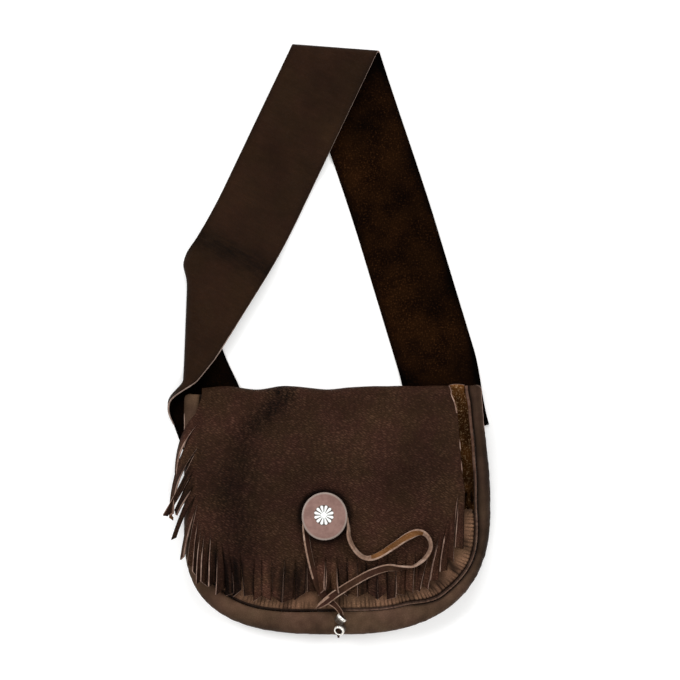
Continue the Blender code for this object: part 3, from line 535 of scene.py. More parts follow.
def addGrid(bm, columns, rows, place, mark=None):
    made = bmesh.ops.create_grid(bm, x_segments=columns, y_segments=rows, size=0.5)
    if mark:
        for face in {f for v in made["verts"] for f in v.link_faces}:
            column = round((min(v.co.x for v in face.verts) + 0.5) * columns)
            row = round((min(v.co.y for v in face.verts) + 0.5) * rows)
            face.material_index = mark(column, row)
    toneAndPaintedLight = bm.verts.layers.float["toneAndPaintedLight"]
    wrinkle = bm.verts.layers.float["wrinkle"]
    for vert in made["verts"]:
        column = round((vert.co.x + 0.5) * columns)
        row = round((vert.co.y + 0.5) * rows)
        vert.co, vert[toneAndPaintedLight], vert[wrinkle] = place(column, row)
    return made["verts"]


# Each vertex carries its colour tone, with painted shade and painted highlight mixed in, and a wrinkle share
def newSheet():
    bm = bmesh.new()
    bm.verts.layers.float.new("toneAndPaintedLight")
    bm.verts.layers.float.new("wrinkle")
    return bm


closeMerge = 0.000001


def finishPiece(name, bm, materials, replaced=(), merge=0.00002):
    bmesh.ops.remove_doubles(bm, verts=bm.verts, dist=merge)
    mesh = bpy.data.meshes.new(name)
    bm.to_mesh(mesh)
    bm.free()
    mesh.shade_smooth()
    for finish in materials:
        mesh.materials.append(finishes[finish])
    piece = bpy.data.objects.new(name, mesh)
    bpy.context.collection.objects.link(piece)
    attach(piece, "root")
    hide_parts(*replaced)
    return piece


def thicken(piece, thickness, offset=0.0):
    wall = piece.modifiers.new("wall", "SOLIDIFY")
    wall.thickness = thickness
    wall.offset = offset
    wall.material_offset = 1
    wall.material_offset_rim = 2
    return wall


# Back, fold and flap with its fringe

flap = {
    "ride": 0.0016, "leftX": -0.1271, "rightX": 0.1078, "crown": 0.0010,
    "edgeSlant": 0.0024, "edgeSlantRun": (0.85, 1.0), "edgeSlantTurn": (0.0, 0.5),
    "shoulderRise": 0.0082, "shoulderLift": 0.0016, "shoulderBow": 0.0009, "shoulderRows": 8,
    "rightEdge": ((0.1125, 0.0950), (0.1150, 0.0650), (0.1172, 0.0370)),
    "foldDip": ((-0.1271, -0.0022), (-0.1050, -0.0006), (-0.0755, -0.0036), (-0.0475, -0.0002),
                (-0.0105, -0.0034), (0.0310, -0.0005), (0.0700, -0.0004), (0.1055, 0.0000)),
    "foldDipReach": 0.0350, "foldWrinkle": 0.0004, "foldWrinklePitch": 60.0,
    "waves": ((0.0005, 0.0, 30.0), (0.00022, 1.0, 90.0)),
    "swell": 0.0025, "swellSpread": 0.0240, "swellEndY": (-0.0150, -0.0500),
    "swellTopRun": 0.0500, "swellSideRun": 0.0300,
    "creaseLine": ((-0.0505, 0.1180), (-0.0519, 0.1100), (-0.0616, 0.0982), (-0.0712, 0.0886),
                   (-0.0858, 0.0686), (-0.0895, 0.0503), (-0.0970, 0.0310), (-0.1020, 0.0122),
                   (-0.0960, -0.0100), (-0.0920, -0.0450), (-0.0960, -0.0760)),
    "creaseWander": 0.0040, "creaseWanderPitch": 26.0,
    "creaseWidth": (0.0105, 0.0095), "creaseWidthY": (0.1050, 0.0000),
    "creaseStrength": (0.72, -0.17), "creaseStrengthY": (0.0950, 0.0300),
    "edgeCurl": 0.0017, "edgeCurlWidth": 0.0028, "curlBlend": (0.0020, 0.0010),
    "edgeRow": 66, "edgeTurn": 0.6,
    "curlRuns": ((0.0930, 0.1200), (0.0575, 0.0650), (0.0370, 0.0445)),
    "liftFromY": -0.0300, "buttonRing": 0.0235,
    "bodyRows": 84, "foldRows": 14, "backRows": 30, "shoulderColumns": 14, "seamRows": 3,
    "columnWidth": 0.0015, "leftCorner": 0.335, "rightCorner": 0.665,
    "seamClear": 0.0002, "backWave": 0.0004, "backWavePitch": 70.0, "backWaveRows": 4,
    "cut": (0.3050, 0.4600), "cutArea": 0.1110,
    "toneAndPaintedLight": {
        "fold": 0.5, "foldCreaseShade": 0.40, "base": 0.47, "crease": 0.42, "swing": 0.16, "swingPitch": 18.0,
        "button": 0.40, "buttonShadowRun": 0.0028,
        "pale": 0.10, "paleX": (0.0000, 0.0500), "paleY": (0.0300, -0.0200),
        "wrinkle": (0.10, 0.90), "creaseTop": (0.55, 0.45), "creaseTopY": (0.0500, 0.0900),
        "shoulder": 0.74, "shoulderSwing": 0.16, "shoulderPitch": 160.0,
        "back": (0.42, 0.32), "backShadeY": (0.0050, 0.0900), "backSwing": 0.20, "backPitch": 60.0,
        "backFleck": 1.20, "fleckPitch": 300.0, "fleckEndY": (0.0150, 0.0350),
    },
}
fringeLine = (
    (-0.1332, 0.0912), (-0.1309, 0.0808), (-0.1318, 0.0480), (-0.1320, 0.0130),
    (-0.1280, -0.0120), (-0.1140, -0.0265), (-0.0930, -0.0395), (-0.0500, -0.0432),
    (0.0026, -0.0432), (0.0500, -0.0420), (0.0760, -0.0360), (0.0975, -0.0206),
    (0.1068, -0.0050), (0.1134, 0.0136), (0.1199, 0.0179),
)
# One row a strip, in millimetres: the slit on its right or lower side (x, y), its tip (x, y), how far
# its middle bows out, its tip's width (0 fills up to its neighbours), turn of the tip in degrees,
# and how far it lies over its neighbours
fringeStrips = (
    (-130.9, 80.8, -151.0, 32, 5.5, 3.8, 65, 0),
    (-130.9, 58.3, -155.8, -8.5, 6.6, 4.7, 35, 1.2),
    (-132.3, 44.2, -161.4, -5.2, -0.9, 5.6, -32, 2.8),
    (-133.7, 28.2, -151.6, -2.3, 0, 4.7, 35, 1.2),
    (-131.8, 16, -153.5, -26.8, 1.4, 4.7, -30, 2.2),
    (-131.5, 5.6, -145.5, -45.1, 1.4, 4.2, 48, 0.6),
    (-130.4, -4.7, -137.5, -52, 0.9, 0, -38, 1.6),
    (-128.7, -13.2, -133.8, -59.8, 0.9, 0, -42, 0.8),
    (-126.5, -19.7, -130, -67.5, 0.9, 0, -36, 1.4),
    (-121.5, -25.8, -124.8, -69.1, 0.9, 0, -40, 0.6),
    (-115.9, -30.1, -117, -69.1, 0, 0, -42, 1.2),
    (-110.2, -33.8, -109.9, -76, -0.9, 0, -34, 0.5),
    (-102.7, -37.6, -100.8, -79, -0.9, 0, 18, 0.9),
    (-91.4, -40.9, -93.8, -78, 0, 0, 8, 0.2),
    (-78.3, -42.3, -83, -79.9, 0, 0, -12, 0.5),
    (-70.7, -43.2, -74.5, -82.7, 0, 0, 14, 0.1),
    (-61.3, -43.2, -66.5, -82.7, 0, 0, -8, 0.4),
    (-49.1, -43.7, -56.6, -83.7, 0, 0, 10, 0),
    (-38.8, -43.7, -46.3, -84.6, 0, 0, -14, 0.4),
    (-28.4, -43.5, -35, -80.8, 0, 0, 6, 0),
    (-18.1, -43.4, -23.3, -76.1, 0, 0, -16, 0.5),
    (-10.7, -43.2, -14.8, -77.1, 0.9, 0, 50, 0.8),
    (-5.9, -43.2, -8.7, -73.3, -0.9, 0, -52, 0),
    (-0.2, -43.2, -2.1, -75.2, 0.9, 0, 48, 0.9),
    (9.2, -43.2, 5.9, -78, 0, 0, -8, 0.1),
    (18.6, -43.1, 14.8, -79, 0, 0, 12, 0.5),
    (27, -42.8, 23.7, -79, 0, 0, -14, 0),
    (37.4, -42.3, 33.6, -80.8, 0, 0, 10, 0.4),
    (46.8, -42, 42.5, -79.9, 0, 0, -8, 0.1),
    (55.2, -40.6, 51, -82.7, 0, 0, 16, 0.5),
    (64.6, -38.8, 59.5, -79, 0, 0, -30, 0),
    (73.1, -36.5, 67.4, -76.1, 0, 0, 12, 0.5),
    (81.5, -33.2, 75, -75.2, 0, 0, -12, 0.1),
    (90, -27.3, 76.0, -72.4, 0.5, 0, 10, 0.6),
    (97.2, -22.0, 82.5, -71.5, 0.9, 0, 16, 0.2),
    (102.3, -13.2, 90.8, -65.5, 0.9, 0, -34, 0.9),
    (107.4, -4.0, 99.5, -56.8, 0.9, 0, -42, 0.5),
    (113.4, 13.6, 106.2, -46, 0.9, 0, 12, 0),
    (119.9, 17.9, 114.2, -35.5, 0, 0, -36, 0.7),
)
fringe = {
    "rows": 34, "slit": 0.00015, "slitRun": 0.10, "tipSlant": 0.85, "wave": 0.0007,
    "tipWidths": (0.0050, 0.0105), "toneSpread": 0.28, "droop": 0.0280, "droopReach": 2.0,
    "turnRun": (0.05, 0.90), "quickRun": (0.0, 0.42), "quickFrom": 34, "leastFace": 0.75,
    "cup": 0.0005, "rootRun": 0.10, "tipRun": (0.80, 1.0), "layRun": (0.0, 0.40),
    "turnRise": 0.8, "waveTurns": 6.0, "turnedFrom": 45, "turnedTone": 0.22, "rootTone": 0.5,
    "stripCreaseShade": 0.42, "sideShade": 0.32, "edgeRun": (0.0, 0.35), "streak": 0.40, "streaks": (3.1, 1.6, 1.1),
}

foldRadius = (bag["topDepth"] + flap["crown"] + flap["ride"] - bag["leather"] / 2) / 2
foldY = bagTop - foldRadius - bag["leather"] / 2
seamPoints = [point + inward * seamInset(show) for point, inward, show in stations]


def foldShift(x, y):
    return readTable(flap["foldDip"], x) * ease(foldY - flap["foldDipReach"], foldY, y)


creaseCurve = smoothCurve(flap["creaseLine"], 4)


def fromCrease(x, y):
    return fromLine(creaseCurve, Vector((x, y)))


def flapSwell(x, y):
    away = fromCrease(x, y)
    edge = ease(foldY, foldY - flap["swellTopRun"], y)
    sides = ease(flap["leftX"], flap["leftX"] + flap["swellSideRun"], x)
    fringed = 1.0 - ease(*flap["swellEndY"], y)
    return flap["swell"] * (1.0 - bell(away, flap["swellSpread"])) * edge * sides * fringed


def creaseShare(x, y):
    away = fromCrease(x, y) + flap["creaseWander"] * ripple(x, y, 0.0, flap["creaseWanderPitch"], 3.0)
    wide = ramp(flap["creaseWidth"], flap["creaseWidthY"], y)
    strong = ramp(flap["creaseStrength"], flap["creaseStrengthY"], y)
    return strong * bell(max(0.0, away), wide)


def stripDroop(x, y):
    spot = Vector((x, y))
    point, inward, show = min(stations[::3], key=lambda s: (s[0] - spot).length_squared)
    past = max(0.0, 1.0 - (spot - point).dot(inward) / show)
    sink = fringe["droop"] * depthAt(point.y) / bag["depth"]
    return sink * past ** 2 / (past ** 2 + fringe["droopReach"] ** 2)


def flapHeight(x, y):
    ride = flap["crown"] + flap["ride"]
    soft = sum(high * ripple(x, y, level, pitch) for high, level, pitch in flap["waves"])
    rise = (bag["strapLeather"] + bag["gap"]) * ease(flap["liftFromY"], bag["liftEndY"], y)
    return rise + depthAt(y) + ride + flapSwell(x, y) - stripDroop(x, y) + soft


def foldSpot(x, angle):
    turn = math.radians(angle)
    y = foldY + foldRadius * math.sin(turn)
    z = liftAt(y) + bag["leather"] / 2 + foldRadius * (1.0 - math.cos(turn))
    wrinkle = flap["foldWrinkle"] * ripple(x, 0.0, 0.0, flap["foldWrinklePitch"]) * math.sin(turn)
    return Vector((x, y + foldShift(x, foldY) + wrinkle, z))


fringeCurve = smoothCurve(fringeLine, 10)
fringeLengths = lengthsOf(fringeCurve)
fringeTotal = fringeLengths[-1]


def patch(low, high, left, right, across, up):
    # A point of the patch between four border curves, each given as a function of 0 to 1
    corners = (low(0.0).lerp(low(1.0), across)).lerp(high(0.0).lerp(high(1.0), across), up)
    return low(across).lerp(high(across), up) + left(up).lerp(right(up), across) - corners


def curveReader(curve, backwards=False):
    lengths = lengthsOf(curve)
    if backwards:
        return lambda share: pointAt(curve, lengths, lengths[-1] * (1.0 - share))
    return lambda share: pointAt(curve, lengths, lengths[-1] * share)


def edgeLift(spot, border):
    out, into = flap["curlBlend"]
    turned = sum(ease(low - out, low + into, spot.y) * (1.0 - ease(high - into, high + out, spot.y))
                 for low, high in flap["curlRuns"])
    return flap["edgeCurl"] * turned * (1.0 - ease(0.0, flap["edgeCurlWidth"], (border - spot).length))


def makeFlap():
    slits = [0.0] + [placeOn(fringeCurve, fringeLengths, Vector(s[:2]) / 1000.0) for s in fringeStrips]
    slits[-1] = fringeTotal
    counts = [max(3, round((b - a) / flap["columnWidth"])) for a, b in zip(slits, slits[1:])]
    places = [0.0]
    for start, end, count in zip(slits, slits[1:], counts):
        places += [start + (end - start) * (i + 1) / count for i in range(count)]
    columns = len(places) - 1
    foldLow, foldHigh = Vector((flap["leftX"], foldY)), Vector((flap["rightX"], foldY))
    right = curveReader(smoothCurve([foldHigh, *flap["rightEdge"], fringeLine[-1]], 10), True)
    left = curveReader(smoothCurve([foldLow, fringeLine[0]], 10), True)
    low = curveReader(fringeCurve)
    bodyRows, foldRows, toneAndPaintedLight = flap["bodyRows"], flap["foldRows"], flap["toneAndPaintedLight"]

    def high(share):
        return foldLow.lerp(foldHigh, share)

    def foldX(share, turned):
        slant = flap["edgeSlant"] * ease(*flap["edgeSlantRun"], share)
        return high(share).x - slant * ease(*flap["edgeSlantTurn"], turned)

    def placeFlap(column, row):
        across = places[column] / fringeTotal
        if row > bodyRows:
            x = foldX(across, (row - bodyRows) / foldRows)
            spot = foldSpot(x, 180.0 * (1.0 - (row - bodyRows) / foldRows))
            crease = creaseShare(x, foldY)
            # Painted shade darkens the fold where the crease meets it
            return spot, toneAndPaintedLight["fold"] - toneAndPaintedLight["foldCreaseShade"] * crease, crease
        spot = patch(low, high, left, right, across, row / bodyRows)
        crease = creaseShare(spot.x, spot.y)
        # Painted shade darkens the flap along the crease
        shade = toneAndPaintedLight["base"] - toneAndPaintedLight["crease"] * crease
        shade += toneAndPaintedLight["swing"] * ripple(spot.x, spot.y, 2.0, toneAndPaintedLight["swingPitch"])
        # A painted shadow darkens the flap in a ring round the button
        away = (spot - Vector(buttonCentre)).length - flap["buttonRing"]
        shade -= toneAndPaintedLight["button"] * bell(max(0.0, away), toneAndPaintedLight["buttonShadowRun"])
        shade += toneAndPaintedLight["pale"] * ease(*toneAndPaintedLight["paleX"], spot.x) * ease(*toneAndPaintedLight["paleY"], spot.y)
        wrinkled = crease * ramp(toneAndPaintedLight["creaseTop"], toneAndPaintedLight["creaseTopY"], spot.y)
        least, more = toneAndPaintedLight["wrinkle"]
        z = flapHeight(spot.x, spot.y) + edgeLift(spot, right(row / bodyRows))
        return (spot.x, spot.y + foldShift(spot.x, spot.y), z), shade, least + more * wrinkled

    def markEdge(column, row):
        last = bodyRows + foldRows * flap["edgeTurn"]
        return 2 if column == columns - 1 and flap["edgeRow"] < row < last else 0

    bm = newSheet()
    addGrid(bm, columns, bodyRows + foldRows, placeFlap, markEdge)
    addBack(bm, [foldX(p / fringeTotal, 1.0) for p in places])
    for number, (start, end, count) in enumerate(zip(slits, slits[1:], counts)):
        addStrip(bm, number, start, end, count)
    piece = finishPiece("flapAndBack", bm, ("flapGrain", "backSuede", "cutEdge", "backSuede"),
                        ("back_and_flap",))
    thicken(piece, bag["leather"])
    return piece


def addBack(bm, foldPlaces):
    rightEnd = seamPoints[-1].x
    extra, curlRows, toneAndPaintedLight = flap["shoulderColumns"], flap["shoulderRows"], flap["toneAndPaintedLight"]
    shoulder = [foldPlaces[-1] + (rightEnd - foldPlaces[-1]) * (i + 1) / extra for i in range(extra)]
    tops = foldPlaces + shoulder
    columns, rows = len(tops) - 1, flap["backRows"]

    def placeShoulder(column, row):
        x = tops[len(foldPlaces) - 1 + column]
        share = 1.0 - row / curlRows
        y = foldY + foldShift(x, foldY) + flap["shoulderRise"] * share
        y += flap["shoulderBow"] * math.sin(math.pi * column / extra) * share
        z = liftAt(foldY) + bag["leather"] / 2 + flap["shoulderLift"] * share * share
        swing = toneAndPaintedLight["shoulderSwing"] * ripple(x, y, 0.0, toneAndPaintedLight["shoulderPitch"])
        return (x, y, z), toneAndPaintedLight["shoulder"] + swing, 0.0

    first, last = round(flap["leftCorner"] * bag["stations"]), round(flap["rightCorner"] * bag["stations"])
    low = curveReader(seamPoints[first:last + 1])
    left = curveReader([Vector((flap["leftX"], foldY))] + [p for p in seamPoints[:first + 1] if p.y < foldY])
    right = curveReader([Vector((rightEnd, foldY))] + [p for p in seamPoints[:last - 1:-1] if p.y < foldY])

    def top(share):
        return Vector((tops[0] + (tops[-1] - tops[0]) * share, foldY))

    def placeBack(column, row):
        share = (tops[column] - tops[0]) / (tops[-1] - tops[0])
        spot = patch(top, low, left, right, share, row / rows)
        # The back's inside is darker towards the mouth, as painted shade deep in the bag
        shade = ramp(toneAndPaintedLight["back"], toneAndPaintedLight["backShadeY"], spot.y)
        shade += toneAndPaintedLight["backSwing"] * ripple(spot.x, spot.y, 0.0, toneAndPaintedLight["backPitch"])
        fleck = toneAndPaintedLight["backFleck"] * ripple(spot.x, spot.y, 5.0, toneAndPaintedLight["fleckPitch"])
        shade += fleck * (1.0 - ease(*toneAndPaintedLight["fleckEndY"], spot.y))
        soft = flap["backWave"] * ripple(spot.x, spot.y, 0.0, flap["backWavePitch"])
        soft *= ease(0, flap["backWaveRows"], row) * ease(0, flap["backWaveRows"], rows - row)
        high = liftAt(spot.y) + bag["leather"] / 2 + soft
        return (spot.x, spot.y + foldShift(spot.x, spot.y), high), max(0.0, shade), 0.0

    back = addGrid(bm, columns, rows, placeBack)
    edges = {e for v in back for e in v.link_edges if e.is_boundary}
    seam = [e for e in edges if min(v.co.y for v in e.verts)
            < foldY + min(foldShift(v.co.x, foldY) for v in e.verts) - flap["seamClear"]]
    for _ in range(flap["seamRows"]):
        raised = bmesh.ops.extrude_edge_only(bm, edges=seam)
        verts = [v for v in raised["geom"] if isinstance(v, bmesh.types.BMVert)]
        for face in (f for f in raised["geom"] if isinstance(f, bmesh.types.BMFace)):
            face.material_index = 1
        seam = [e for e in raised["geom"] if isinstance(e, bmesh.types.BMEdge)]
        bmesh.ops.translate(bm, verts=verts, vec=(0.0, 0.0, bag["seamAllowance"] / flap["seamRows"]))
    addGrid(bm, extra, curlRows, placeShoulder)


def tipWidthOf(number, across, turn):
    if fringeStrips[number][5]:
        return fringeStrips[number][5] / 1000.0
    tip = Vector(fringeStrips[number][2:4]) / 1000.0
    near = fringeStrips[max(number - 1, 0):number] + fringeStrips[number + 1:number + 2]
    gaps = [abs((Vector(other[2:4]) / 1000.0 - tip).dot(across)) for other in near]
    low, high = fringe["tipWidths"]
    full = sum(gaps) / len(gaps) / max(fringe["leastFace"], math.cos(math.radians(turn)))
    return min(high, max(low, full))


def addStrip(bm, number, start, end, count):
    tipX, tipY, bow = fringeStrips[number][2:5]
    turn, layer = fringeStrips[number][6:]
    bow, layer = bow / 1000.0, layer / 1000.0
    rows = fringe["rows"]
    rootA = pointAt(fringeCurve, fringeLengths, start)
    rootB = pointAt(fringeCurve, fringeLengths, end)
    chord = rootB - rootA
    middle, tip = (rootA + rootB) / 2, Vector((tipX, tipY)) / 1000.0
    run = tip - middle
    tipWidth = tipWidthOf(number, Vector((-run.y, run.x)).normalized(), turn)
    out = Vector((run.y, -run.x)).normalized()
    if out.dot(chord) > 0:
        out.negate()
    bend = (middle + tip) / 2 + out * 2.0 * bow
    toneHere = fringe["rootTone"] + dice.uniform(-1, 1) * fringe["toneSpread"]
    slant = fringe["tipSlant"] * dice.uniform(-1, 1)
    phase = dice.uniform(0, math.tau)
    wave = fringe["wave"] * dice.uniform(0.5, 1.3)
    cup = fringe["cup"] * dice.uniform(-1, 1)
    turnRun = fringe["quickRun"] if number >= fringe["quickFrom"] else fringe["turnRun"]
    if abs(turn) > fringe["turnedFrom"]:
        toneHere += fringe["turnedTone"]

    def placeStrip(column, row):
        share = 1.0 - row / rows
        spine = middle * (1 - share) ** 2 + bend * 2 * share * (1 - share) + tip * share ** 2
        head = ((bend - middle) * (1 - share) + (tip - bend) * share).normalized()
        across = Vector((-head.y, head.x))
        if across.dot(chord) < 0:
            across.negate()
        half = (chord / 2).lerp(across * tipWidth / 2, ease(0.0, 1.0, share))
        half -= half.normalized() * fringe["slit"] * ease(0.0, fringe["slitRun"], share)
        side = 2.0 * column / count - 1.0
        angle = math.radians(turn) * ease(*turnRun, share)
        flat = spine + half * side * math.cos(angle)
        root = pointAt(fringeCurve, fringeLengths, start + (end - start) * column / count)
        flat = root.lerp(flat, ease(0.0, fringe["rootRun"], share)) if row < rows else root
        flat += head * slant * side * tipWidth * 0.5 * ease(*fringe["tipRun"], share)
        z = flapHeight(flat.x, flat.y)
        off = ease(*fringe["layRun"], share)
        lifted = half.length * (side * math.sin(angle) + fringe["turnRise"] * abs(math.sin(angle)))
        swing = wave * (1 + math.sin(share * fringe["waveTurns"] + phase)) / 2
        z += lifted + off * (layer + cup * side * side + swing)
        shade = toneHere * off + fringe["rootTone"] * (1 - off)
        # Painted shade of the flap's crease runs on into the strips
        shade -= fringe["stripCreaseShade"] * creaseShare(flat.x, flat.y)
        # Painted shadow darkens each strip's sides, where it meets its neighbours
        shade -= fringe["sideShade"] * off * (1.0 - ease(*fringe["edgeRun"], 1.0 - abs(side)))
        strands = (value * pitch for value, pitch in zip((number, side, share), fringe["streaks"]))
        shade += fringe["streak"] * off * ripple(*strands, 1.0)
        return (flat.x, flat.y + foldShift(flat.x, flat.y), z), max(0.0, shade), 0.1

    addGrid(bm, count, rows, placeStrip)


print("flap, fold and back")
flapPiece = makeFlap()


# Front panel with its gathered margin

front = {
    "mouthY": 0.0, "mouthWave": 0.0014, "mouthPitch": 260.0, "mouthCrown": 0.0070,
    "crown": 0.0010, "edgeDrop": 0.0012, "edgeRoll": 0.0120,
    "perGather": 6, "rows": 28, "seamRows": 3, "gatherShare": 0.75, "closeUp": 1.3,
    "gatherPitch": 0.0042, "gatherHeight": 0.00075, "gatherReach": 0.0150, "farthest": 1.4,
    "wander": ((0.9, 0.0, 0.21), (0.35, 3.0, 0.8)), "ridge": (0.55, 0.65),
    "strength": (0.55, 0.45), "strengthRun": (0.52, 0.66), "strengthSwing": (0.75, 0.9, 0.33),
    "reachSwing": (0.75, 0.8, 0.6), "fadeFrom": 0.2, "startRun": (-0.0010, 0.0020),
    "puff": 0.0008, "puffPitch": 0.0110, "puffDepth": 60.0, "puffStart": 0.0030, "puffEnd": 0.0100,
    "cornerAt": (0.1050, -0.0760), "cornerReach": 0.0300,
    "cut": (0.2820, 0.1280), "cutArea": 0.0275,
    "toneAndPaintedLight": {
        "base": 0.46, "ridge": (0.5, 0.72), "gatherShade": 1.55, "puff": 0.45, "rightRun": (0.60, 0.72),
        "rightSeam": 0.55, "rightSeamRun": (0.0004, 0.0022), "seam": 0.10, "seamRun": (0.0, 0.0022),
        "mouth": 0.30, "mouthRun": (-0.0045, 0.0010), "corner": 0.30, "seamTone": 0.25, "wrinkle": 0.6,
    },
}


def panelHeight(y, fromSeam):
    crown = front["crown"] - (front["crown"] + front["edgeDrop"]) * (
        1.0 - ease(0.0, front["edgeRoll"], fromSeam))
    return liftAt(y) + depthAt(y) - bag["leather"] / 2 + crown


def makeFrontPanel():
    inFront = [i for i, s in enumerate(stations) if s[0].y < front["mouthY"]]
    first, last = inFront[0] / bag["stations"], inFront[-1] / bag["stations"]
    seamLength = lengthsOf(bagOutline())[-1] * (last - first)
    gathers = round(seamLength / front["gatherPitch"])
    columns, rows = gathers * front["perGather"], front["rows"]
    ends = []
    for share in (first, last):
        point, inward, show = stationAt(share)
        ends.append((point + inward * seamInset(show)).x)
    farthest = front["gatherReach"] * front["farthest"]
    seamRows, mark, toneAndPaintedLight = front["seamRows"], front["gatherShare"], front["toneAndPaintedLight"]

    def place(column, row):
        share = column / columns
        point, inward, show = stationAt(first + (last - first) * share)
        seam = point + inward * seamInset(show)
        if row < seamRows:
            drop = bag["seamAllowance"] * (seamRows - row) / seamRows
            return (*seam, panelHeight(point.y, 0.0) - drop), toneAndPaintedLight["seamTone"], 0.0
        step = (row - seamRows) / (rows - seamRows)
        reach = 2.0 * share - 1.0
        mouth = Vector((ends[0] + (ends[1] - ends[0]) * share,
                        front["mouthY"] + front["mouthCrown"] * (1.0 - reach * reach)))
        mouth.y += front["mouthWave"] * ripple(mouth.x, 0.0, 0.0, front["mouthPitch"])
        near = min((mouth - seam).length, farthest)
        if step < mark:
            distance = near * (step / mark) ** front["closeUp"]
            flat = seam + inward * distance
            flat.y = min(flat.y, mouth.y)
        else:
            distance = near
            flat = (seam + inward * near).lerp(mouth, (step - mark) / (1.0 - mark))
        along = share * gathers

        def swinging(values, level):
            return values[0] + values[1] * ripple(along, level, 0.0, values[2])

        phase = along
        for much, level, pitch in front["wander"]:
            phase += much * ripple(along, level, 0.0, pitch)
        fold = abs(math.sin(math.pi * phase))
        strong = ramp(front["strength"], front["strengthRun"], share) * swinging(front["strengthSwing"], 1.0)
        length = front["gatherReach"] * swinging(front["reachSwing"], 7.0)
        fade = 1.0 - ease(length * front["fadeFrom"], length, distance)
        fade *= ease(*front["startRun"], distance)
        power, middle = front["ridge"]
        wave = (fold ** power - middle) * front["gatherHeight"] * 2.0 * strong * fade
        puff = ripple(along * front["gatherPitch"] / front["puffPitch"], distance * front["puffDepth"],
                      0.0, 1.0, 8.0)
        puffed = ease(0.0, front["puffStart"], distance)
        wave += front["puff"] * puff * puffed * (1.0 - ease(front["puffEnd"], farthest, distance))
        z = panelHeight(point.y if step < mark else flat.y, distance) + wave
        # Painted highlight on the gather ridges and the puffs, painted shade in the gather valleys
        power, middle = toneAndPaintedLight["ridge"]
        shade = toneAndPaintedLight["base"] + (fold ** power - middle) * toneAndPaintedLight["gatherShade"] * fade * strong + toneAndPaintedLight["puff"] * puff
        right = ease(*toneAndPaintedLight["rightRun"], share)
        shade -= toneAndPaintedLight["rightSeam"] * (1.0 - ease(*toneAndPaintedLight["rightSeamRun"], distance)) * right
        shade -= toneAndPaintedLight["seam"] * (1.0 - ease(*toneAndPaintedLight["seamRun"], distance)) * (1.0 - right)
        shade -= toneAndPaintedLight["mouth"] * ease(*toneAndPaintedLight["mouthRun"], flat.y)
        away = (Vector((flat.x, flat.y)) - Vector(front["cornerAt"])).length
        shade -= toneAndPaintedLight["corner"] * bell(away, front["cornerReach"])
        return (flat.x, flat.y, z), min(1.0, max(0.0, shade)), toneAndPaintedLight["wrinkle"] * fade

    bm = newSheet()
    addGrid(bm, columns, rows, place)
    piece = finishPiece("frontPanel", bm, ("frontGrain", "backSuede", "cutEdge"),
                        ("front_panel",))
    thicken(piece, bag["leather"])
    return piece


print("front panel")
frontPiece = makeFrontPanel()


# Gusset and the two welts

gusset = {
    "columns": 520, "rows": 26, "seamRows": 3, "fullness": 0.6, "endRound": 0.0042, "cut": (0.0480, 0.6600),
    "paleRuns": ((0.026, 0.084), (0.935, 1.0)), "paleRows": (0.955, 1.0),
    "wrinkle": 0.0007, "wrinkleBase": 0.5,
    "crumples": ((1.0, 85.0, 0.8, 0.0, 4.0), (0.6, 200.0, 1.2, 3.0, 0.0)),
    "corner": (0.5, 0.5), "cornerAt": 0.70, "cornerRun": 0.10,
    "toneAndPaintedLight": {
        "base": 0.60, "swings": ((0.20, 40.0), (0.16, 130.0)), "rightRun": (0.64, 0.78), "calm": 0.6,
        "outer": (0.24, -0.20), "line": 0.75, "lineStart": 0.04, "lineEnd": (0.17, -0.09),
        "lineEndRun": (0.86, 0.92), "lineRun": (0.58, 0.64),
        "top": 0.14, "topRows": (0.60, 0.90), "topRun": (0.90, 0.96), "right": 0.44, "rightEnd": 0.15,
        "rightEndRun": (0.93, 1.0), "sheen": 0.11, "sheenAt": 0.42, "sheenWidth": 0.20,
        "sheenRun": (0.60, 0.75), "start": 0.14, "startRun": (0.004, 0.030),
        "left": 0.12, "leftRun": (0.10, 0.25), "wrinkle": 0.15,
    },
}
welt = {
    "columns": 520, "rows": 12, "showFrom": (0.488, 0.522), "sink": 0.0016, "frontClear": 0.0002,
    "backFill": 0.0005, "rollRun": (0.0, 0.30), "rollDrop": 0.0004, "rollOut": (0.0012, 0.0003, 120.0),
    "toneAndPaintedLight": {
        "base": 0.66, "swing": 0.5, "pitch": 260.0, "seam": (0.22, 0.78), "seamRun": (0.02, 0.14),
        "endRun": (0.86, 0.92), "gapShade": 0.6, "gapShadeRun": (0.26, 0.34), "hidden": 0.04,
    },
}


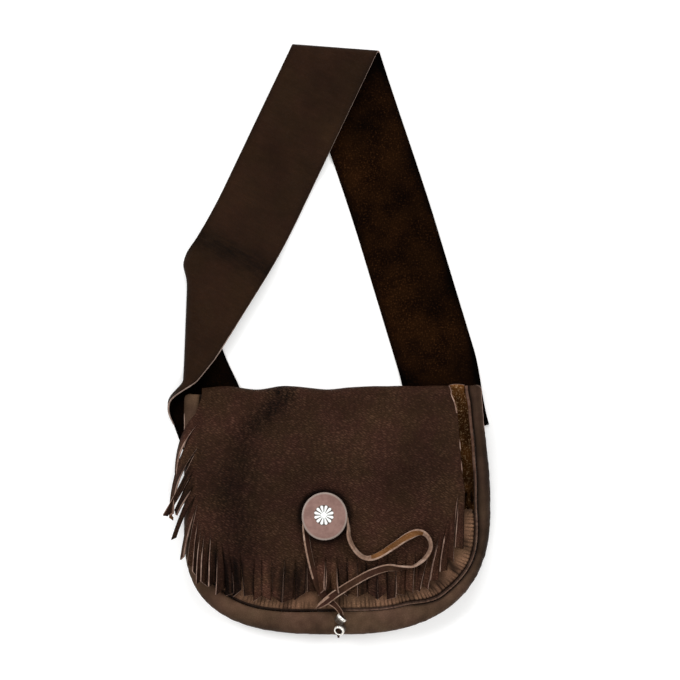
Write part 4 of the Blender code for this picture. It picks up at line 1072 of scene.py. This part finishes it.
def makeGusset():
    half = bag["leather"] / 2
    total = lengthsOf(bagOutline())[-1]
    rows, seamRows, toneAndPaintedLight = gusset["rows"], gusset["seamRows"], gusset["toneAndPaintedLight"]

    def turnOf(row):
        return math.radians(-90.0 + 180.0 * (row - seamRows) / (rows - 2 * seamRows))

    def mark(column, row):
        share = (column + 0.5) / gusset["columns"]
        low, high = gusset["paleRows"]
        outer = math.cos(turnOf(row + 0.5))
        pale = any(start < share < end for start, end in gusset["paleRuns"])
        return 2 if pale and low < outer < high and row >= rows / 2 else 0

    def shadeAt(share, outer, spot, z):
        right = ease(*toneAndPaintedLight["rightRun"], share)
        calm = 1.0 - toneAndPaintedLight["calm"] * right
        shade = toneAndPaintedLight["base"]
        for much, pitch in toneAndPaintedLight["swings"]:
            shade += much * calm * ripple(spot.x, spot.y, z, pitch)
        # Painted shade darkens the band towards its outer side, where it turns away from the light, and a
        # painted shadow line runs beside the welt along the right
        shade -= ramp(toneAndPaintedLight["outer"], toneAndPaintedLight["rightRun"], share) * outer ** 2
        lineEnd = ramp(toneAndPaintedLight["lineEnd"], toneAndPaintedLight["lineEndRun"], share)
        line = toneAndPaintedLight["line"] * (1.0 - ease(toneAndPaintedLight["lineStart"], lineEnd, outer))
        shade -= line * ease(*toneAndPaintedLight["lineRun"], share)
        shade += toneAndPaintedLight["top"] * ease(*toneAndPaintedLight["topRows"], outer) * ease(*toneAndPaintedLight["topRun"], share)
        shade -= toneAndPaintedLight["right"] * right * (1.0 - toneAndPaintedLight["rightEnd"] * ease(*toneAndPaintedLight["rightEndRun"], share))
        # A painted sheen lightens the middle of the band at the right
        sheen = toneAndPaintedLight["sheen"] * bell(outer - toneAndPaintedLight["sheenAt"], toneAndPaintedLight["sheenWidth"])
        shade += sheen * ease(*toneAndPaintedLight["sheenRun"], share)
        pale = toneAndPaintedLight["start"] * (1.0 - ease(*toneAndPaintedLight["startRun"], share))
        shade += pale - toneAndPaintedLight["left"] * (1.0 - ease(*toneAndPaintedLight["leftRun"], share))
        return max(0.0, shade)

    def place(column, row):
        share = column / gusset["columns"]
        fromEnd = min(1.0, min(share, 1.0 - share) * total / gusset["endRound"])
        point, inward, show = stationAt(share)
        low = liftAt(point.y) + half
        high = liftAt(point.y) + depthAt(point.y) - half
        seam = show - half
        if row < seamRows:
            across, z = seam, low + bag["seamAllowance"] * (seamRows - row) / seamRows
        elif row > rows - seamRows:
            across, z = seam, high - bag["seamAllowance"] * (row - rows + seamRows) / seamRows
        else:
            turn = turnOf(row)
            full = math.copysign(abs(math.sin(turn)) ** gusset["fullness"], turn)
            bulge = (seam - half) * math.cos(turn)
            crumple = 0.0
            for much, alongPitch, turnPitch, level, seed in gusset["crumples"]:
                crumple += much * ripple(share * alongPitch, math.sin(turn) * turnPitch, level, 1.0, seed)
            base, more = gusset["corner"]
            corner = base + more * bell(share - gusset["cornerAt"], gusset["cornerRun"])
            crumple = gusset["wrinkle"] * (gusset["wrinkleBase"] + crumple)
            bulge -= crumple * corner * math.cos(turn) ** 0.5
            bulge -= gusset["endRound"] * (1.0 - math.sqrt(1.0 - (1.0 - fromEnd) ** 2)) * math.cos(turn)
            across, z = seam - bulge, (low + high) / 2 + (high - low) / 2 * full
        spot = point + inward * across
        outer = math.cos(turnOf(min(max(row, seamRows), rows - seamRows)))
        return (spot.x, spot.y, z), shadeAt(share, outer, spot, z), toneAndPaintedLight["wrinkle"]

    bm = newSheet()
    addGrid(bm, gusset["columns"], gusset["rows"], place, mark)
    piece = finishPiece("gussetBand", bm, ("gussetGrain", "backSuede", "cutEdge"),
                        ("gusset",))
    thicken(piece, bag["leather"])
    return piece


def makeWelt(name, replaced, isFront):
    columns, rows, toneAndPaintedLight = welt["columns"], welt["rows"], welt["toneAndPaintedLight"]

    def place(column, row):
        share = column / columns
        point, inward, show = stationAt(share)
        middle = show + bag["gap"] + bag["weltThickness"] / 2
        lie = 1.0 - row / rows
        if isFront:
            hidden = 1.0 - ease(*welt["showFrom"], share)
            high = liftAt(point.y) + depthAt(point.y) + bag["weltProud"] - welt["sink"] * hidden
            roll = 1.0 - ease(*welt["rollRun"], lie)
            z = high - (bag["weltProud"] + bag["seamAllowance"]) * lie - welt["rollDrop"] * roll
            out, swing, pitch = welt["rollOut"]
            middle += (out + swing * ripple(share * pitch, 0.0, 0.0, 1.0)) * roll
        else:
            z = liftAt(point.y) + bag["gap"] + bag["seamAllowance"] * lie
            hidden = 0.0
        spot = point + inward * middle
        shade = toneAndPaintedLight["base"] + toneAndPaintedLight["swing"] * ripple(share * toneAndPaintedLight["pitch"], 0.0, 2.0, 1.0)
        dim, rest = toneAndPaintedLight["seam"]
        shade *= dim + rest * max(ease(*toneAndPaintedLight["seamRun"], lie), ease(*toneAndPaintedLight["endRun"], share))
        # Painted shade darkens the welt's lower rows, down in the gap beside the gusset
        shade *= 1.0 - toneAndPaintedLight["gapShade"] * ease(*toneAndPaintedLight["gapShadeRun"], lie)
        # Where the front welt sinks at the left it is painted near black, as painted shade
        shade += (toneAndPaintedLight["hidden"] - shade) * hidden
        return (spot.x, spot.y, z), shade, 0.0

    bm = newSheet()
    addGrid(bm, columns, rows, place)
    piece = finishPiece(name, bm, ("weltGrain", "weltGrain", "weltGrain"), replaced)
    thicken(piece, bag["weltThickness"] + (-welt["frontClear"] if isFront else welt["backFill"]))
    return piece


print("gusset and welts")
gussetPiece = makeGusset()
makeWelt("frontWelt", ("front_welt",), True)
makeWelt("backWelt", ("back_welt",), False)


# Shoulder strap

strap = {
    "width": 0.0752, "endWidth": 0.0738, "narrowRun": 0.1500, "topX": -0.0018, "topY": 0.4350,
    "lean": 25.5, "bend": 6.5, "bendStart": 0.1500, "bendEnd": 0.2400,
    "rightRun": 0.3840, "endRound": 0.0065, "rightShift": 0.0042, "shiftRun": 0.1900,
    "endBend": 0.0070, "endBendRun": 0.0750,
    "leftRun": 0.0950, "leftEndSlant": 0.05,
    "topFoldTilt": -4.33, "topFoldRadius": 0.0035,
    "leftFoldX": -0.1405, "leftFoldY": 0.2331, "leftFoldTilt": -2.2, "leftFoldRadius": 0.0055,
    "leftSqueeze": 0.72, "bulge": -0.0042, "bulgeY": 0.2310, "bulgeSpread": 0.0110,
    "bulgeX": (-0.1180, -0.1400), "restHeight": 0.0012,
    "sinkRun": (0.0950, 0.1350), "riseRun": (0.1700, 0.2250),
    "pull": -0.0135, "pullY": (0.1165, 0.0930), "pullX": (-0.1020, -0.1180),
    "tuck": 0.0080, "tuckY": (0.1500, 0.1000), "centreSteps": 40, "rowCounts": (150, 24, 130, 40, 50),
    "searchFrom": 0.2000, "searchStep": 0.0005, "endRows": (0.03, 0.10, 0.22),
    "slantFrom": 0.0800, "slantTop": (-0.0300, 0.0800), "curlColumns": 2.0, "curlRun": 0.0060,
    "columns": 54, "edgeCurl": 0.0006, "lowEdgeCurl": 0.0010, "lowCurlY": (0.1850, 0.1550),
    "crease": ((-0.1234, 0.2547), (-0.0877, 0.2359), (-0.0642, 0.2228)),
    "creaseWidth": 0.0085, "creaseShade": 0.0130, "creaseDip": 0.0060, "creaseDeep": 0.0007,
    "creaseOver": 0.0100, "wave": 0.0004, "wavePitch": 40.0, "clear": 0.0002,
    "toneAndPaintedLight": {
        "base": 0.5, "swings": ((0.16, 0.0, 16.0), (0.08, 4.0, 60.0)), "edge": 0.16, "edgeRun": (0.0, 0.08),
        "left": 0.40, "rightSwing": 0.35, "rightPitch": 26.0, "rightEdge": 0.20, "rightEdgeRun": (0.0, 0.16),
        "top": 0.25, "topRun": (-0.0600, -0.0150), "end": 0.25, "endRun": (-0.2900, -0.3300), "crease": 0.26,
        "line": 0.30, "highlightColumn": 3.0, "highlightWidth": 1.2, "highlightStartY": (0.1500, 0.1800),
        "highlightEndY": (0.2450, 0.2200),
    },
}


def strapCentre(distance):
    place = Vector((strap["topX"], strap["topY"]))
    steps = strap["centreSteps"]
    for step in range(steps):
        bend = strap["bend"] * ease(strap["bendStart"], strap["bendEnd"], distance * (step + 0.5) / steps)
        angle = math.radians(strap["lean"] + bend)
        place += Vector((-math.sin(angle), -math.cos(angle))) * distance / steps
    angle = math.radians(strap["lean"] + strap["bend"] * ease(strap["bendStart"], strap["bendEnd"], distance))
    return place, Vector((-math.sin(angle), -math.cos(angle)))


def foldLine(crestX, crestY, away, radius):
    return Vector((crestX, crestY)) - away * (radius + bag["strapLeather"] / 2), away, radius


def topFold():
    tilt = math.radians(strap["topFoldTilt"])
    return foldLine(strap["topX"], strap["topY"], Vector((-math.sin(tilt), math.cos(tilt))),
                    strap["topFoldRadius"])


def leftFold():
    tilt = math.radians(strap["leftFoldTilt"])
    return foldLine(strap["leftFoldX"], strap["leftFoldY"], Vector((-math.cos(tilt), -math.sin(tilt))),
                    strap["leftFoldRadius"])


def upperHeight(distance):
    start, end = 2 * strap["topFoldRadius"], 2 * strap["leftFoldRadius"]
    down = start + (strap["restHeight"] - start) * ease(*strap["sinkRun"], distance)
    return bag["strapLeather"] / 2 + down + (end - strap["restHeight"]) * ease(*strap["riseRun"], distance)


def strapSpot(distance, across, centre):
    place, run = centre
    spot = place + Vector((run.y, -run.x)) * across
    height = upperHeight(distance)
    for (line, away, radius), squeeze in ((topFold(), 1.0), (leftFold(), strap["leftSqueeze"])):
        past = (spot - line).dot(away)
        if past <= 0.0:
            continue
        turn = min(past / radius, math.pi)
        spot = spot - away * past + away * (radius * math.sin(turn))
        spot -= away * max(0.0, past - math.pi * radius) * squeeze
        height -= radius * (1.0 - math.cos(turn))
    if distance > 0.0:
        bulge = bell(spot.y - strap["bulgeY"], strap["bulgeSpread"])
        tuck = strap["tuck"] * ease(*strap["tuckY"], spot.y)
        spot.x += strap["bulge"] * bulge * ease(*strap["bulgeX"], spot.x)
        spot.x += strap["pull"] * ease(*strap["pullY"], spot.y) * ease(*strap["pullX"], spot.x)
        spot.y += tuck
    bendStart = strap["endBendRun"] - strap["rightRun"]
    spot.x += strap["rightShift"] * ease(0.0, -strap["shiftRun"], distance)
    spot.x -= strap["endBend"] * ease(bendStart, -strap["rightRun"], distance)
    return Vector((spot.x, spot.y, max(height, bag["strapLeather"] / 2)))


def slantOf(fold, distance):
    run = strapCentre(distance)[1]
    side = Vector((run.y, -run.x))
    return -side.dot(fold[1]) / run.dot(fold[1])


def makeStrap():
    line, away, radius = topFold()
    run = strapCentre(0.0)[1]
    topStart = (strapCentre(0.0)[0] - line).dot(away) / -run.dot(away)
    topEnd = topStart + math.pi * radius / run.dot(away)
    line, away, radius = leftFold()
    leftStart = strap["searchFrom"]
    while (strapCentre(leftStart)[0] - line).dot(away) < 0.0:
        leftStart += strap["searchStep"]
    leftEnd = leftStart + math.pi * radius / strapCentre(leftStart)[1].dot(away)
    first, last = -strap["rightRun"], leftEnd + strap["leftRun"]
    rows = []
    marks = (first, topEnd, topStart, leftStart, leftEnd, last)
    for start, end, count in zip(marks, marks[1:], strap["rowCounts"]):
        rows += [start + (end - start) * i / count for i in range(count)]
    rows[1:1] = [first + strap["endRound"] * share for share in strap["endRows"]]
    rows.append(last)
    topSlant, leftSlant = slantOf(topFold(), 0.0), slantOf(leftFold(), leftStart)
    slants = ((first, 0.0), (first + strap["slantFrom"], 0.0), (strap["slantTop"][0], topSlant),
              (topStart, topSlant), (strap["slantTop"][1], topSlant), (leftStart, leftSlant),
              (leftEnd, leftSlant), (last, strap["leftEndSlant"]))
    columns, toneAndPaintedLight = strap["columns"], strap["toneAndPaintedLight"]
    creaseLine = [Vector(spot) for spot in strap["crease"]]

    def place(column, row):
        distance = rows[row]
        narrow = ease(0.0, -strap["narrowRun"], distance)
        width = strap["width"] + (strap["endWidth"] - strap["width"]) * narrow
        fromEnd = min(1.0, min(distance - first, last - distance) / strap["endRound"])
        width -= 2.0 * strap["endRound"] * (1.0 - math.sqrt(max(0.0, 1.0 - (1.0 - fromEnd) ** 2)))
        across = width * column / columns - strap["width"] / 2
        here = distance + readTable(slants, distance, eased=False) * across
        spot = strapSpot(here, across, strapCentre(here))
        shade = toneAndPaintedLight["base"]
        for much, level, pitch in toneAndPaintedLight["swings"]:
            shade += much * ripple(spot.x, spot.y, level, pitch)
        edge = min(column, columns - column) / columns
        shade -= toneAndPaintedLight["edge"] * (1.0 - ease(*toneAndPaintedLight["edgeRun"], edge))
        # Painted shadow darkens the end past the left fold, which lies under the strap above it
        shade -= toneAndPaintedLight["left"] * ease(leftStart, leftEnd, distance)
        if distance < 0.0:
            shade += toneAndPaintedLight["rightSwing"] * ripple(spot.x, spot.y, 1.0, toneAndPaintedLight["rightPitch"])
            dark = toneAndPaintedLight["rightEdge"] * (1.0 - ease(*toneAndPaintedLight["rightEdgeRun"], edge))
            shade -= dark + toneAndPaintedLight["top"] * ease(*toneAndPaintedLight["topRun"], distance)
            shade -= toneAndPaintedLight["end"] * ease(*toneAndPaintedLight["endRun"], distance)
        shade = max(0.0, shade)
        soft = strap["wave"] * ripple(spot.x, spot.y, 0.0, strap["wavePitch"])
        wrinkle = 0.0
        if topStart < distance < leftStart + strap["creaseOver"]:
            away = fromLine(creaseLine, Vector((spot.x, spot.y)))
            wrinkle = bell(away, strap["creaseWidth"])
            # Painted shade darkens the strap along its crease
            shade = max(0.0, shade - toneAndPaintedLight["crease"] * bell(away, strap["creaseShade"]))
            soft -= strap["creaseDeep"] * bell(away, strap["creaseDip"])
        if topStart < distance < leftEnd:
            curl = strap["edgeCurl"] + strap["lowEdgeCurl"] * (1.0 - ease(*strap["lowCurlY"][::-1], spot.y))
            soft += curl * ease(strap["curlColumns"], 0.0, column) * ease(0.0, strap["curlRun"], distance)
            # A painted highlight line runs near the strap's rolled left edge
            line = bell(columns - column - toneAndPaintedLight["highlightColumn"], toneAndPaintedLight["highlightWidth"])
            line *= toneAndPaintedLight["line"]
            shade += line * ease(*toneAndPaintedLight["highlightStartY"], spot.y) * ease(*toneAndPaintedLight["highlightEndY"], spot.y)
        spot.z = max(spot.z + soft, bag["strapLeather"] / 2)
        return spot, shade, wrinkle

    bm = newSheet()
    addGrid(bm, columns, len(rows) - 1, place)
    piece = finishPiece("shoulderStrap", bm, ("strapGrain", "strapSuede", "strapEdge"),
                        ("shoulder_strap",))
    thicken(piece, bag["strapLeather"] - strap["clear"])
    return piece, last - first


print("shoulder strap")
strapPiece, strapLength = makeStrap()


# Closure lace and its beads

lace = {
    "width": 0.0074, "thickness": 0.0022, "edge": 0.0010, "rows": 460, "steps": 12,
    "paleRuns": ((17.3, 21.6), (25.4, 30.0)), "darkRuns": ((0.0, 4.6), (7.2, 8.8)),
    "tipStart": 34.5, "tipRun": 0.0060, "tipNarrow": 0.85, "tipThin": (0.55, 0.45),
    "startTaper": (0.0060, 0.0140), "startWidth": (0.40, 0.60), "reach": 0.0008,
    "faceBow": (0.86, 0.14), "edgeSpot": (0.25, 0.55), "wobble": 0.05, "wobblePitch": 260.0,
    "toneAndPaintedLight": 0.5, "toneSwing": 0.2, "tonePitch": 90.0, "wrinkle": 0.2,
    "beadDiameter": 0.0100, "beadHole": 0.0064, "beadLength": 0.0074,
    "lowerBead": {"turn": -24.0, "tilt": -92.0, "shift": (0.0010, 0.0018, 0.0), "litRidges": (1.0, 0.0),
                  "face": 1.0},
    "upperBead": {"turn": -38.0, "tilt": 0.0, "shift": (-0.0006, -0.0010, 0.0), "litRidges": (0.0, 1.0),
                  "face": 0.0},
}
# x, y, z, turn about its run in degrees (0 on edge, -90 and -450 grain side up, -270 flesh side up),
# width share
laceRoute = (
    (0.0012, -0.1188, 0.0140, -90, 0.62), (0.0012, -0.1189, 0.0200, -90, 0.62),
    (0.0016, -0.1134, 0.0283, -90, 0.58), (0.0026, -0.1072, 0.0302, -90, 0.58),
    (0.0033, -0.1014, 0.0315, -90, 0.58), (0.0034, -0.0962, 0.0322, -92, 0.58),
    (-0.0012, -0.0900, 0.0320, -96, 0.70), (-0.0072, -0.0850, 0.0312, -105, 1.0),
    (-0.0157, -0.0752, 0.0312, -112, 1.0), (-0.0214, -0.0611, 0.0316, -130, 1.0),
    (-0.0261, -0.0423, 0.0330, -132, 1.0), (-0.0289, -0.0254, 0.0340, -128, 1.0),
    (-0.0292, -0.0120, 0.0344, -115, 1.0), (-0.0250, 0.0000, 0.0345, -90, 1.0),
    (-0.0185, 0.0058, 0.0345, -90, 1.0), (-0.0119, 0.0072, 0.0345, -90, 1.0),
    (-0.0021, 0.0047, 0.0345, -92, 1.0), (0.0059, -0.0038, 0.0345, -130, 1.0),
    (0.0102, -0.0132, 0.0347, -185, 1.0), (0.0110, -0.0255, 0.0352, -203, 1.0),
    (0.0167, -0.0371, 0.0352, -205, 1.0), (0.0256, -0.0444, 0.0348, -208, 1.0),
    (0.0369, -0.0432, 0.0348, -226, 1.0), (0.0529, -0.0334, 0.0352, -236, 1.0),
    (0.0667, -0.0242, 0.0360, -262, 1.0), (0.0772, -0.0205, 0.0366, -312, 1.0),
    (0.0848, -0.0244, 0.0366, -338, 1.0), (0.0879, -0.0338, 0.0360, -342, 1.0),
    (0.0829, -0.0442, 0.0350, -342, 1.0), (0.0721, -0.0522, 0.0342, -356, 1.0),
    (0.0594, -0.0541, 0.0334, -398, 1.0), (0.0461, -0.0541, 0.0322, -430, 1.0),
    (0.0300, -0.0597, 0.0320, -446, 1.0), (0.0131, -0.0691, 0.0330, -450, 1.0),
    (-0.0010, -0.0780, 0.0340, -450, 1.0), (-0.0115, -0.0860, 0.0340, -452, 0.95),
    (-0.0210, -0.0928, 0.0325, -456, 0.30),
)


def makeLace():
    places = smoothCurve([p[:3] for p in laceRoute], lace["steps"])
    turns = smoothCurve([p[3:] for p in laceRoute], lace["steps"])
    lengths = lengthsOf(places)
    rows = lace["rows"]
    halfWide, halfThick, edge = lace["width"] / 2, lace["thickness"] / 2, lace["edge"]
    (middle, bow), (inwards, high) = lace["faceBow"], lace["edgeSpot"]
    ring = []
    for side in (1, -1):
        faceWide = halfWide - edge
        ring += [(side * faceWide * (1 - i / 3), side * halfThick * (middle + bow * abs(2 * i / 6 - 1)))
                 for i in range(0, 7)]
        ring.append((-side * (halfWide - edge * inwards), side * halfThick * high))
        ring.append((-side * halfWide, 0.0))
        ring.append((-side * (halfWide - edge * inwards), -side * halfThick * high))
    count = len(ring)

    def inRuns(distance, runs):
        return any(lengths[round(a * lace["steps"])] < distance < lengths[round(b * lace["steps"])]
                   for a, b in runs)

    def mark(column, row):
        distance = lengths[-1] * row / rows
        if inRuns(distance, lace["darkRuns"]):
            return 0
        if distance > lengths[round(lace["tipStart"] * lace["steps"])] and 13 < column < 17:
            return 2
        if column % 10 > 5:
            return 2
        if column >= 10:
            return 0
        return 2 if inRuns(distance, lace["paleRuns"]) else 1

    def place(column, row):
        distance = lengths[-1] * row / rows
        spot = pointAt(places, lengths, distance)
        ahead = pointAt(places, lengths, distance + lace["reach"])
        behind = pointAt(places, lengths, distance - lace["reach"])
        run = (ahead - behind).normalized()
        turn, share = pointAt(turns, lengths, distance)
        turn = math.radians(turn)
        left = Vector((-run.y, run.x, 0.0))
        if left.length < 0.2:
            left = Vector((-1.0, 0.0, 0.0))
        left.normalize()
        up = run.cross(left)
        wide = up * math.cos(turn) + left * math.sin(turn)
        face = run.cross(wide)
        a, b = ring[column % count]
        wobble = 1.0 + lace["wobble"] * ripple(distance, 0.0, 0.0, lace["wobblePitch"], 1.0 if a > 0 else 7.0)
        tip = 1.0 - lace["tipNarrow"] * ease(lengths[-1] - lace["tipRun"], lengths[-1], distance)
        tip *= ramp(lace["startWidth"], lace["startTaper"], distance)
        least, more = lace["tipThin"]
        thin = min(1.0, least + more * tip, tip * 2.0)
        spot = spot + wide * a * min(share, 1.0) * wobble * tip + face * b * thin
        swing = lace["toneSwing"] * ripple(distance, 0.0, 0.0, lace["tonePitch"])
        return spot, lace["toneAndPaintedLight"] + swing, lace["wrinkle"]

    bm = newSheet()
    addGrid(bm, count, rows, place, mark)
    bmesh.ops.remove_doubles(bm, verts=bm.verts, dist=0.00001)
    bmesh.ops.holes_fill(bm, edges=[e for e in bm.edges if e.is_boundary])
    bmesh.ops.recalc_face_normals(bm, faces=bm.faces)
    piece = finishPiece("closureLace", bm, ("laceGrain", "laceSuede", "laceEdge"),
                        ("closure_lace",), merge=closeMerge)
    return piece, places[::6] + [places[-1]], lengths[-1]


def makeBead(name, index, look):
    before, centre, after = (Vector(laceRoute[i][:3]) for i in (index - 1, index, index + 1))
    outer, hole, half = lace["beadDiameter"] / 2, lace["beadHole"] / 2, lace["beadLength"] / 2
    upward = [(outer * 0.90, half * 0.24), (outer * 0.985, half * 0.36), (outer, half * 0.62),
              (outer * 0.95, half * 0.88), (outer * 0.84, half), (hole + 0.0003, half * 0.98),
              (hole, half * 0.80)]
    profile = [(r, -z) for r, z in upward[::-1]] + upward
    bm = newSheet()
    toneAndPaintedLight = bm.verts.layers.float["toneAndPaintedLight"]
    verts = [bm.verts.new((r, 0.0, z)) for r, z in profile]
    # Painted highlights: at one end of each bead the ridge is painted bright, on the lower bead that end's
    # face too, the rest dull and dark as painted shade
    for vert in verts:
        face = look["face"] * (abs(vert.co.z) > half * 0.85)
        paintedHighlight = max(ease(outer * 0.88, outer * 0.96, vert.co.x), face)
        vert[toneAndPaintedLight] = paintedHighlight * look["litRidges"][vert.co.z > 0]
    edges = [bm.edges.new(pair) for pair in zip(verts, verts[1:] + verts[:1])]
    bmesh.ops.spin(bm, geom=verts + edges, cent=(0, 0, 0), axis=(0, 0, 1), angle=math.tau, steps=56,
                   use_merge=True, use_duplicate=False)
    bmesh.ops.recalc_face_normals(bm, faces=bm.faces)
    run = Matrix.Rotation(math.radians(look["tilt"]), 3, "X") @ (after - before)
    run = Matrix.Rotation(math.radians(look["turn"]), 3, "Z") @ run
    turn = run.to_track_quat("Z", "Y").to_matrix().to_4x4()
    bmesh.ops.transform(bm, matrix=Matrix.Translation(centre + Vector(look["shift"])) @ turn, verts=bm.verts)
    return finishPiece(name, bm, ("silver",), (("bead_lower", "bead_upper")[index > 3],),
                       merge=closeMerge)


print("closure lace and beads")
lacePiece, lacePath, laceLength = makeLace()
beadPieces = (makeBead("beadLower", 2, lace["lowerBead"]), makeBead("beadUpper", 4, lace["upperBead"]))
[tuple(p) for p in lacePath]


# Button and its flower inlay

button = {
    "top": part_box("button")[1].z, "base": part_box("button")[0].z,
    "diameter": 0.0446, "round": 0.0016, "dome": 0.0004, "thickness": 0.0048,
    "shank": 0.0110, "segments": 144, "innerSteps": 12, "innerFrom": 0.0060, "innerReach": 0.62,
    "underReach": 0.6, "shankRound": 0.0006,
    "hub": 0.0027, "hubHeight": 0.0006, "petals": 12, "reach": 0.0092, "petalStart": 0.0004,
    "halfTurn": 10.2, "petalRise": 0.0001, "petalDepth": 0.0004, "tipRound": 0.0012,
    "petalSides": (0.0050, 0.0026, 0.0012), "edge": 0.00008,
}


def makeButton():
    radius = button["diameter"] / 2
    top, base = button["top"] - button["dome"], button["base"]
    under = top - button["thickness"]
    rim = [(math.cos(math.radians(a)), math.sin(math.radians(a))) for a in range(90, -91, -15)]
    corner = button["round"]
    profile = []
    for step in range(button["innerSteps"] + 1):
        r = radius * button["innerReach"] * step / button["innerSteps"] + button["innerFrom"]
        if r < radius - corner:
            profile.append((r, top + button["dome"] * (1.0 - (r / radius) ** 2)))
    for across, rise in rim:
        high = (top if rise >= 0 else under)
        z = high - corner + corner * rise if rise >= 0 else high + corner + corner * rise
        profile.append((radius - corner + corner * across, z))
    shank, turn = button["shank"] / 2, button["shankRound"]
    profile += [(radius * button["underReach"], under), (shank + turn, under), (shank, under - turn),
                (shank, base), (0.0, base)]
    profile = [(0.0, top + button["dome"])] + profile
    bm = newSheet()
    verts = [bm.verts.new((r, 0.0, z)) for r, z in profile]
    edges = [bm.edges.new(pair) for pair in zip(verts, verts[1:])]
    bmesh.ops.spin(bm, geom=verts + edges, cent=(0, 0, 0), axis=(0, 0, 1), angle=math.tau,
                   steps=button["segments"], use_merge=True, use_duplicate=False)
    bmesh.ops.remove_doubles(bm, verts=bm.verts, dist=0.000002)
    bmesh.ops.recalc_face_normals(bm, faces=bm.faces)
    bmesh.ops.scale(bm, verts=bm.verts, vec=(*buttonOval, 1.0))
    bmesh.ops.translate(bm, verts=bm.verts, vec=(*buttonCentre, 0.0))
    return finishPiece("hornButton", bm, ("horn",), ("button",), merge=closeMerge)


def makeInlay():
    bm = newSheet()
    face = button["top"]
    for petal in range(button["petals"]):
        middle = math.radians(90.0 + 15.0 + 360.0 * petal / button["petals"])
        half = math.radians(button["halfTurn"])
        outline = []
        for step in range(-6, 7):
            share = step / 6
            reach = button["reach"] - button["tipRound"] * abs(share) ** 2.6
            outline.append((reach * math.cos(middle + half * share * 0.98),
                            reach * math.sin(middle + half * share * 0.98)))
        for r in button["petalSides"]:
            outline.append((r * math.cos(middle + half), r * math.sin(middle + half)))
        outline.append((button["petalStart"] * math.cos(middle), button["petalStart"] * math.sin(middle)))
        for r in button["petalSides"][::-1]:
            outline.append((r * math.cos(middle - half), r * math.sin(middle - half)))
        disc = bm.faces.new([bm.verts.new((x, y, face - button["petalDepth"])) for x, y in outline])
        raised = bmesh.ops.extrude_face_region(bm, geom=[disc])
        lifted = [v for v in raised["geom"] if isinstance(v, bmesh.types.BMVert)]
        bmesh.ops.translate(bm, verts=lifted, vec=(0, 0, button["petalDepth"] + button["petalRise"]))
    hub = bmesh.ops.create_cone(bm, cap_ends=True, segments=48, radius1=button["hub"], radius2=button["hub"],
                                depth=button["hubHeight"])
    bmesh.ops.translate(bm, verts=hub["verts"], vec=(0.0, 0.0, face - 0.0001))
    bmesh.ops.recalc_face_normals(bm, faces=bm.faces)
    centre = Vector(buttonCentre) + Vector(inlayShift)
    bmesh.ops.translate(bm, verts=bm.verts, vec=(*centre, 0.0))
    piece = finishPiece("flowerInlay", bm, ("inlay",), ("flower_inlay",), merge=closeMerge)
    edge = piece.modifiers.new("edge", "BEVEL")
    edge.width = button["edge"]
    edge.segments = 2
    edge.limit_method = "ANGLE"
    return piece


print("button and inlay")
makeButton()
makeInlay()


# Floor, lights and camera

studio = {
    "scale": 0.00094, "centre": (0.0026, 0.1598), "distance": 16.0, "sensor": 36.0, "image": 680,
    "worldStrength": 0.30, "floorZ": -0.0002, "floorColour": (0.93, 0.93, 0.925),
    "floorGlow": 0.16, "glowColour": (1.0, 1.0, 0.99), "aim": (0.0, 0.1, 0.0),
    "boxes": (("leftBox", (-1.7, 0.7, 1.5), 1.2, 34.0), ("rightBox", (1.8, 0.1, 1.5), 1.2, 22.0),
              ("farBox", (0.2, 2.0, 1.5), 1.2, 26.0), ("nearBox", (-0.2, -1.8, 1.5), 1.2, 22.0)),
}


def makeFloor():
    bm = bmesh.new()
    bmesh.ops.create_grid(bm, x_segments=1, y_segments=1, size=4.0)
    mesh = bpy.data.meshes.new("floor")
    bm.to_mesh(mesh)
    bm.free()
    floor = bpy.data.objects.new("floor", mesh)
    floor.location.z = studio["floorZ"]
    bpy.context.collection.objects.link(floor)
    made, tree, shader, _ = startMaterial("paleFloor", 0.9, 0.0)
    feed(tree, shader.inputs["Base Color"], studio["floorColour"])
    feed(tree, shader.inputs["Emission Color"], studio["glowColour"])
    feed(tree, shader.inputs["Emission Strength"], studio["floorGlow"])
    mesh.materials.append(made)


def addLight(name, place, size, power):
    lamp = bpy.data.lights.new(name, "AREA")
    lamp.shape = "SQUARE"
    lamp.size = size
    lamp.energy = power
    made = bpy.data.objects.new(name, lamp)
    made.location = place
    aim = Vector(studio["aim"]) - Vector(place)
    made.rotation_mode = "QUATERNION"
    made.rotation_quaternion = aim.to_track_quat("-Z", "Y")
    bpy.context.collection.objects.link(made)


def makeStudio():
    world = bpy.data.worlds.new("studio")
    world.use_nodes = True
    world.node_tree.nodes["Background"].inputs["Color"].default_value = (1.0, 1.0, 1.0, 1.0)
    world.node_tree.nodes["Background"].inputs["Strength"].default_value = studio["worldStrength"]
    bpy.context.scene.world = world
    for box in studio["boxes"]:
        addLight(*box)
    camera = bpy.data.cameras.new("camera")
    camera.sensor_width = studio["sensor"]
    camera.lens = studio["sensor"] * studio["distance"] / (studio["image"] * studio["scale"])
    camera.clip_end = 50.0
    eye = bpy.data.objects.new("camera", camera)
    eye.location = (*studio["centre"], studio["distance"])
    bpy.context.collection.objects.link(eye)
    bpy.context.scene.camera = eye
    bpy.context.scene.view_settings.view_transform = "Standard"


print("floor, lights and camera")
makeFloor()
makeStudio()
